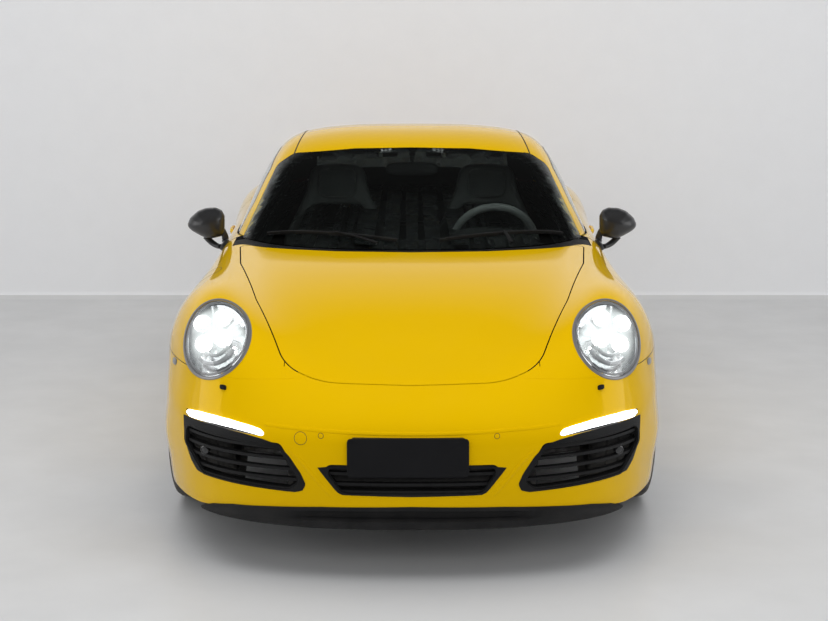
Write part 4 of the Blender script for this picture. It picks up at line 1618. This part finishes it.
# side linings: upright columns that bulge inwards as sin(t)^0.5
grid = np.array([[(station(s), z) for z in np.linspace(0.17, top, 9)] for s, top in
                 ((1.80, 0.80), (1.9, 0.84), (2.05, 0.865), (2.2, 0.86), (2.35, 0.85), (2.45, 0.84))])
bulge = 0.02 * np.sin(np.linspace(0, np.pi, 9))[None] ** 0.5 * np.ones((6, 1))
inner, outer = (np.stack([0.622 - bulge + lift, grid[..., 0], grid[..., 1]], axis=2) for lift in (0.0, 0.006))
lining = (np.concatenate([inner, outer[:, ::-1]], axis=1).reshape(-1, 3), capped(6, 18))
newPiece("rearSideLinings", *pairOf(lining), "cabinSkin", slot="seat_cover", sharp=50)

# carpet over the flat floor and tunnel, and a firewall behind the dashboard
carpet = {"profile": [(-0.645, 0.178), (-0.640, 0.172), (-0.30, 0.170), (-0.155, 0.172), (-0.135, 0.19),
                      (-0.128, 0.285), (-0.10, 0.306), (0.10, 0.306), (0.128, 0.285), (0.135, 0.19), (0.155, 0.172),
                      (0.30, 0.170), (0.640, 0.172), (0.645, 0.178)], "from": 0.475, "to": 2.03, "thick": 0.004}
upper = np.array(carpet["profile"])
loop = np.concatenate([upper, upper[::-1] - (0, carpet["thick"])])
carpetPoints = np.array([[(x, station(s), z) for x, z in loop] for s in np.linspace(carpet["from"], carpet["to"],
                                                                                    30)])
newPiece("carpet", carpetPoints.reshape(-1, 3), capped(30, len(loop)), "cloth", slot="dash_trim", sharp=45)
wallProfile = [(0.474, 0.17), (0.480, 0.17), (0.482, 0.60), (0.56, 0.75), (0.655, 0.832), (0.650, 0.838),
               (0.55, 0.757), (0.474, 0.605)]
newPiece("cabinFirewall", *barAcross(wallProfile, 0.60), "cabinSkin", slot="dash_trim", sharp=40)
print("cabin ready")

# side windows: borders under the glass and a seal round the opening
window = {"outline": [(0.760, 0.890, 0.01), (0.940, 1.010, 0.06), (1.190, 1.128, 0.16), (1.430, 1.186, 0.2),
                      (1.700, 1.182, 0.2), (1.990, 1.100, 0.12), (2.210, 0.980, 0.03), (2.140, 0.890, 0.01)],
          "middle": (1.5, 1.02), "lowest": 0.893, "sortZ": 0.86, "grow": 0.006,
          "pillar": (1.776, 1.812), "pillarZ": (0.935, 1.168)}
edge = roundedOutline(window["outline"], 0.02)
edge = np.column_stack([station(edge[:, 0]), edge[:, 1]])
middle = np.array([station(window["middle"][0]), window["middle"][1]])
keep = edge[edge[:, 1] > window["lowest"]]
keep = keep[np.argsort(-np.arctan2(keep[:, 1] - window["sortZ"], keep[:, 0] - middle[0]))]
growth = keep - middle
growth /= np.linalg.norm(growth, axis=1, keepdims=True)
path, normals = dropOn(windowView, keep + growth * window["grow"], -0.001)
newPiece("windowSeals", *pairOf(swept(path, beadProfile(0.009, 0.0012, 0.002), normals)), "rubber", sharp=45)
band = [(station(s), z) for z in np.linspace(*window["pillarZ"], 20) for s in np.linspace(*window["pillar"], 5)]
bandOut, bandIn = (dropOn(windowView, band, lift)[0].reshape(20, 5, 3) for lift in (0.0006, -0.0004))
pillar = (np.concatenate([bandOut, bandIn[:, ::-1]], axis=1).reshape(-1, 3), capped(20, 10))
newPiece("pillarCovers", *pairOf(pillar), "glossBlack", sharp=45)

# doors: handles, belt seals and inner arm rests
handleFlat = np.column_stack([np.linspace(station(1.520), station(1.690), 15), np.full(15, 0.792)])
handlePath, handleNormals = dropOn(fromLeft, handleFlat)
rise = 0.018 * (1 - np.linspace(-1, 1, 15) ** 4)[:, None] - 0.006
handle = tube(handlePath + handleNormals * (rise - 0.002), 0.0095 - 0.0025 * np.abs(np.linspace(-1, 1, 15)) ** 3,
              14, 1.5)
recess = padOn(fromLeft, oval(station(1.605), 0.790, 0.062, 0.019, 40, 3.0), 0.0008)
beltFlat = np.column_stack([np.linspace(station(0.80), station(1.755), 40), np.full(40, 0.898)])
beltPath, beltNormals = dropOn(windowView, beltFlat, 0.0005)
beltSeal = swept(beltPath, beadProfile(0.010, 0.004, 0.002), beltNormals)
armPlaces = np.array([(0.668, station(s), z) for s, z in ((0.95, 0.56), (1.05, 0.575), (1.25, 0.585), (1.45, 0.60),
                                                          (1.55, 0.62))])
armRestPart = tube(armPlaces, [0.012, 0.024, 0.028, 0.026, 0.014], 18, 0.8)
pull = tube(bezier([(0.668, station(1.12), 0.66), (0.640, station(1.2), 0.70), (0.668, station(1.30), 0.68)]),
            0.007)
for side, flip in bothSidesOfCar:
    body = side + "_door_set"
    newPiece(side + "DoorHandle", *flip(handle), "paint", body, "body_paint", sharp=50)
    newPiece(side + "HandleRecess", *flip(recess), "paint", body, "body_paint", sharp=30)
    newPiece(side + "BeltSeal", *flip(beltSeal), "rubber", body, "black_trim", sharp=45)
    newPiece(side + "DoorArmRest", *flip(merged(armRestPart, pull)), "leather", body, "dash_trim", sharp=50)

# sills, side markers and the fuel flap's seam
sillFlat = np.column_stack([np.linspace(station(0.68), station(1.98), 50), np.full(50, 0.175)])
sillPath, sillNormals = dropOn(fromLeft, sillFlat)
sill = swept(sillPath, [(-0.022, -0.002), (0.018, -0.002), (0.018, 0.002), (0.010, 0.009), (-0.016, 0.012),
                        (-0.022, 0.006)], sillNormals)
newPiece("sillStrips", *pairOf(sill), "trim", sharp=30)
markerView = ("body", yAxis, zAxis, (1, -0.5, 0))
marker = padOn(markerView, oval(station(-0.482), 0.630, 0.026, 0.011, 36, 3.0), 0.003, dome=0.002)
newPiece("sideMarkers", *pairOf(marker), "greyRing", sharp=40)
flapView = ("body", xAxis, yAxis, (-0.5, 0, 1))
flapPath, flapNormals = dropOn(flapView, oval(-0.775, station(0.02), 0.055, 0.075, 60, 2.6))
newPiece("fuelFlapSeam", *swept(flapPath, beadProfile(0.0022, 0.0003, 0.001), flapNormals, True), "rubber")
print("sides ready")


def topOf(node, xs, s, lift=0.001):
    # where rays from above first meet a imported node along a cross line, and the mesh's normals there
    mesh = nodes[node].data
    tree = BVHTree.FromPolygons([v.co for v in mesh.vertices], [list(p.vertices) for p in mesh.polygons])
    hits, normals = [], []
    for x in xs:
        place, normal, _, _ = tree.ray_cast((x, station(s), grille["rayFrom"]), (0, 0, -1))
        if place is not None:
            normal = np.array(normal)
            normal = normal if normal[2] > 0 else -normal
            hits.append(np.array(place) + lift * normal)
            normals.append(normal)
    return np.array(hits), np.array(normals)


# engine lid grille: slats along cross lines over a thin panel
grille = {"halfWidth": 0.285, "front": 2.735, "rear": 2.925, "slats": 9, "taper": 0.10, "panelHalf": 0.30,
          "panelOver": 0.018, "panelThick": 0.003, "rayFrom": 1.4,
          "slat": [(-0.0065, -0.002), (0.0065, -0.002), (0.0065, 0.003), (0.002, 0.0085), (-0.0045, 0.0085),
                   (-0.0065, 0.005)]}
slatParts = []
for k in range(grille["slats"]):
    s = grille["front"] + (grille["rear"] - grille["front"]) * k / (grille["slats"] - 1)
    half = grille["halfWidth"] * (1 - grille["taper"] * k / grille["slats"])
    path, normals = topOf("engine_lid", np.linspace(-half, half, 31), s)
    slatParts.append(swept(path, grille["slat"], np.broadcast_to((0, 0.2, 1), normals.shape)))
newPiece("lidGrilleSlats", *merged(*slatParts), "trim", "rear_lid", sharp=40)
panelX = np.linspace(-grille["panelHalf"], grille["panelHalf"], 31)
panelTop = np.array([topOf("engine_lid", panelX, s, 0.0012)[0] for s in
                     np.linspace(grille["front"] - grille["panelOver"], grille["rear"] + grille["panelOver"], 12)])
panel = np.concatenate([panelTop, (panelTop - (0, 0, grille["panelThick"]))[:, ::-1]], axis=1)
newPiece("lidGrillePanel", panel.reshape(-1, 3), capped(12, 62), "glossBlack", "rear_lid", sharp=40)

# tail: light line, plate, diffuser, reflectors and exhaust
rear = {"lightZ": 0.755, "lightHalf": 0.80, "plateZ": 0.560, "plateOff": 0.006,
        "diffuser": [(0, 0.345, 0), (0.175, 0.345, 0.02), (0.19, 0.245, 0.02), (0, 0.24, 0)],
        "outerInsert": [(0.400, 0.352, 0.02), (0.650, 0.372, 0.03), (0.66, 0.262, 0.03), (0.405, 0.245, 0.02)],
        "insertHeight": 0.004, "fins": (-0.12, -0.06, 0.0, 0.06, 0.12), "finZ": (0.255, 0.335),
        "finProfile": [(-0.003, -0.002), (0.003, -0.002), (0.002, 0.016), (-0.002, 0.016)],
        "pipes": (0.25, 0.345), "pipeZ": 0.30, "pipeOut": 0.012}
lightLine = np.column_stack([np.linspace(-rear["lightHalf"], rear["lightHalf"], 90), np.full(90, rear["lightZ"])])
path, normals = dropOn(("body", xAxis, zAxis, (0, 1, 0.1)), lightLine)
newPiece("tailLightLine", *swept(path, beadProfile(0.006, 0.0015, 0.001), normals), "redLamp", slot="lamp_red",
         sharp=45)
rearY = dropOn(fromBehind, [(0.0, rear["plateZ"])])[0][0][1] + rear["plateOff"]
rearOutline = plateOutline + (0, rear["plateZ"] - plate["middleZ"])
points, faces = plateShape(rearOutline * (-1, 1), -rearY - plate["thickness"], -rearY, plate["edge"])
newPiece("rearPlate", points * (1, -1, 1), faces, "plate", sharp=35)
rearSeat = dropOn(fromBehind, rearOutline * (0.96, 1), -0.002)[0]
newPiece("rearPlateHolder", *holderShape(rearSeat, rearOutline, rearY - plate["holderGap"]), "trim", sharp=35)
inserts = [padOn(fromBehind, roundedOutline(bothSides(rear["diffuser"]), 0.012), rear["insertHeight"]),
           pairOf(padOn(fromBehind, roundedOutline(rear["outerInsert"], 0.012), rear["insertHeight"]))]
for x in rear["fins"]:
    path, normals = dropOn(fromBehind, [(x, z) for z in np.linspace(*rear["finZ"], 8)], 0.002)
    inserts.append(swept(path, rear["finProfile"], normals))
newPiece("rearInserts", *merged(*inserts), "trim", sharp=40)
reflector = padOn(fromBehind, oval(0.60, 0.420, 0.055, 0.012, 36, 4.0), 0.003, dome=0.001)
newPiece("rearReflectors", *pairOf(reflector), "redLamp", slot="lamp_red", sharp=40)
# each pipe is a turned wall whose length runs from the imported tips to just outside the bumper, with a dark plug
tips = []
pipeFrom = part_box("exhaust_tips")[0][1]
for x in rear["pipes"]:
    start = (x, pipeFrom, rear["pipeZ"])
    end = dropOn(fromBehind, [(x, rear["pipeZ"])])[0][0][1] + rear["pipeOut"] - pipeFrom
    tips.append(turned([(0, 0.036), (0, 0.0405), (end - 0.006, 0.0415), (end - 0.001, 0.0435),
                        (end + 0.003, 0.0425),
                        (end + 0.003, 0.0395), (end - 0.004, 0.0375), (0.04, 0.0365)], start, yAxis, 48))
    tips.append(turned([(0.02, 0.0005), (0.02, 0.0362), (0.024, 0.0362), (0.024, 0.0005)], start, yAxis, 32))
newPiece("exhaustPipes", *pairOf(*tips), "steel", slot="polished_steel", replaced=["exhaust_tips"], sharp=50)
print("tail ready")
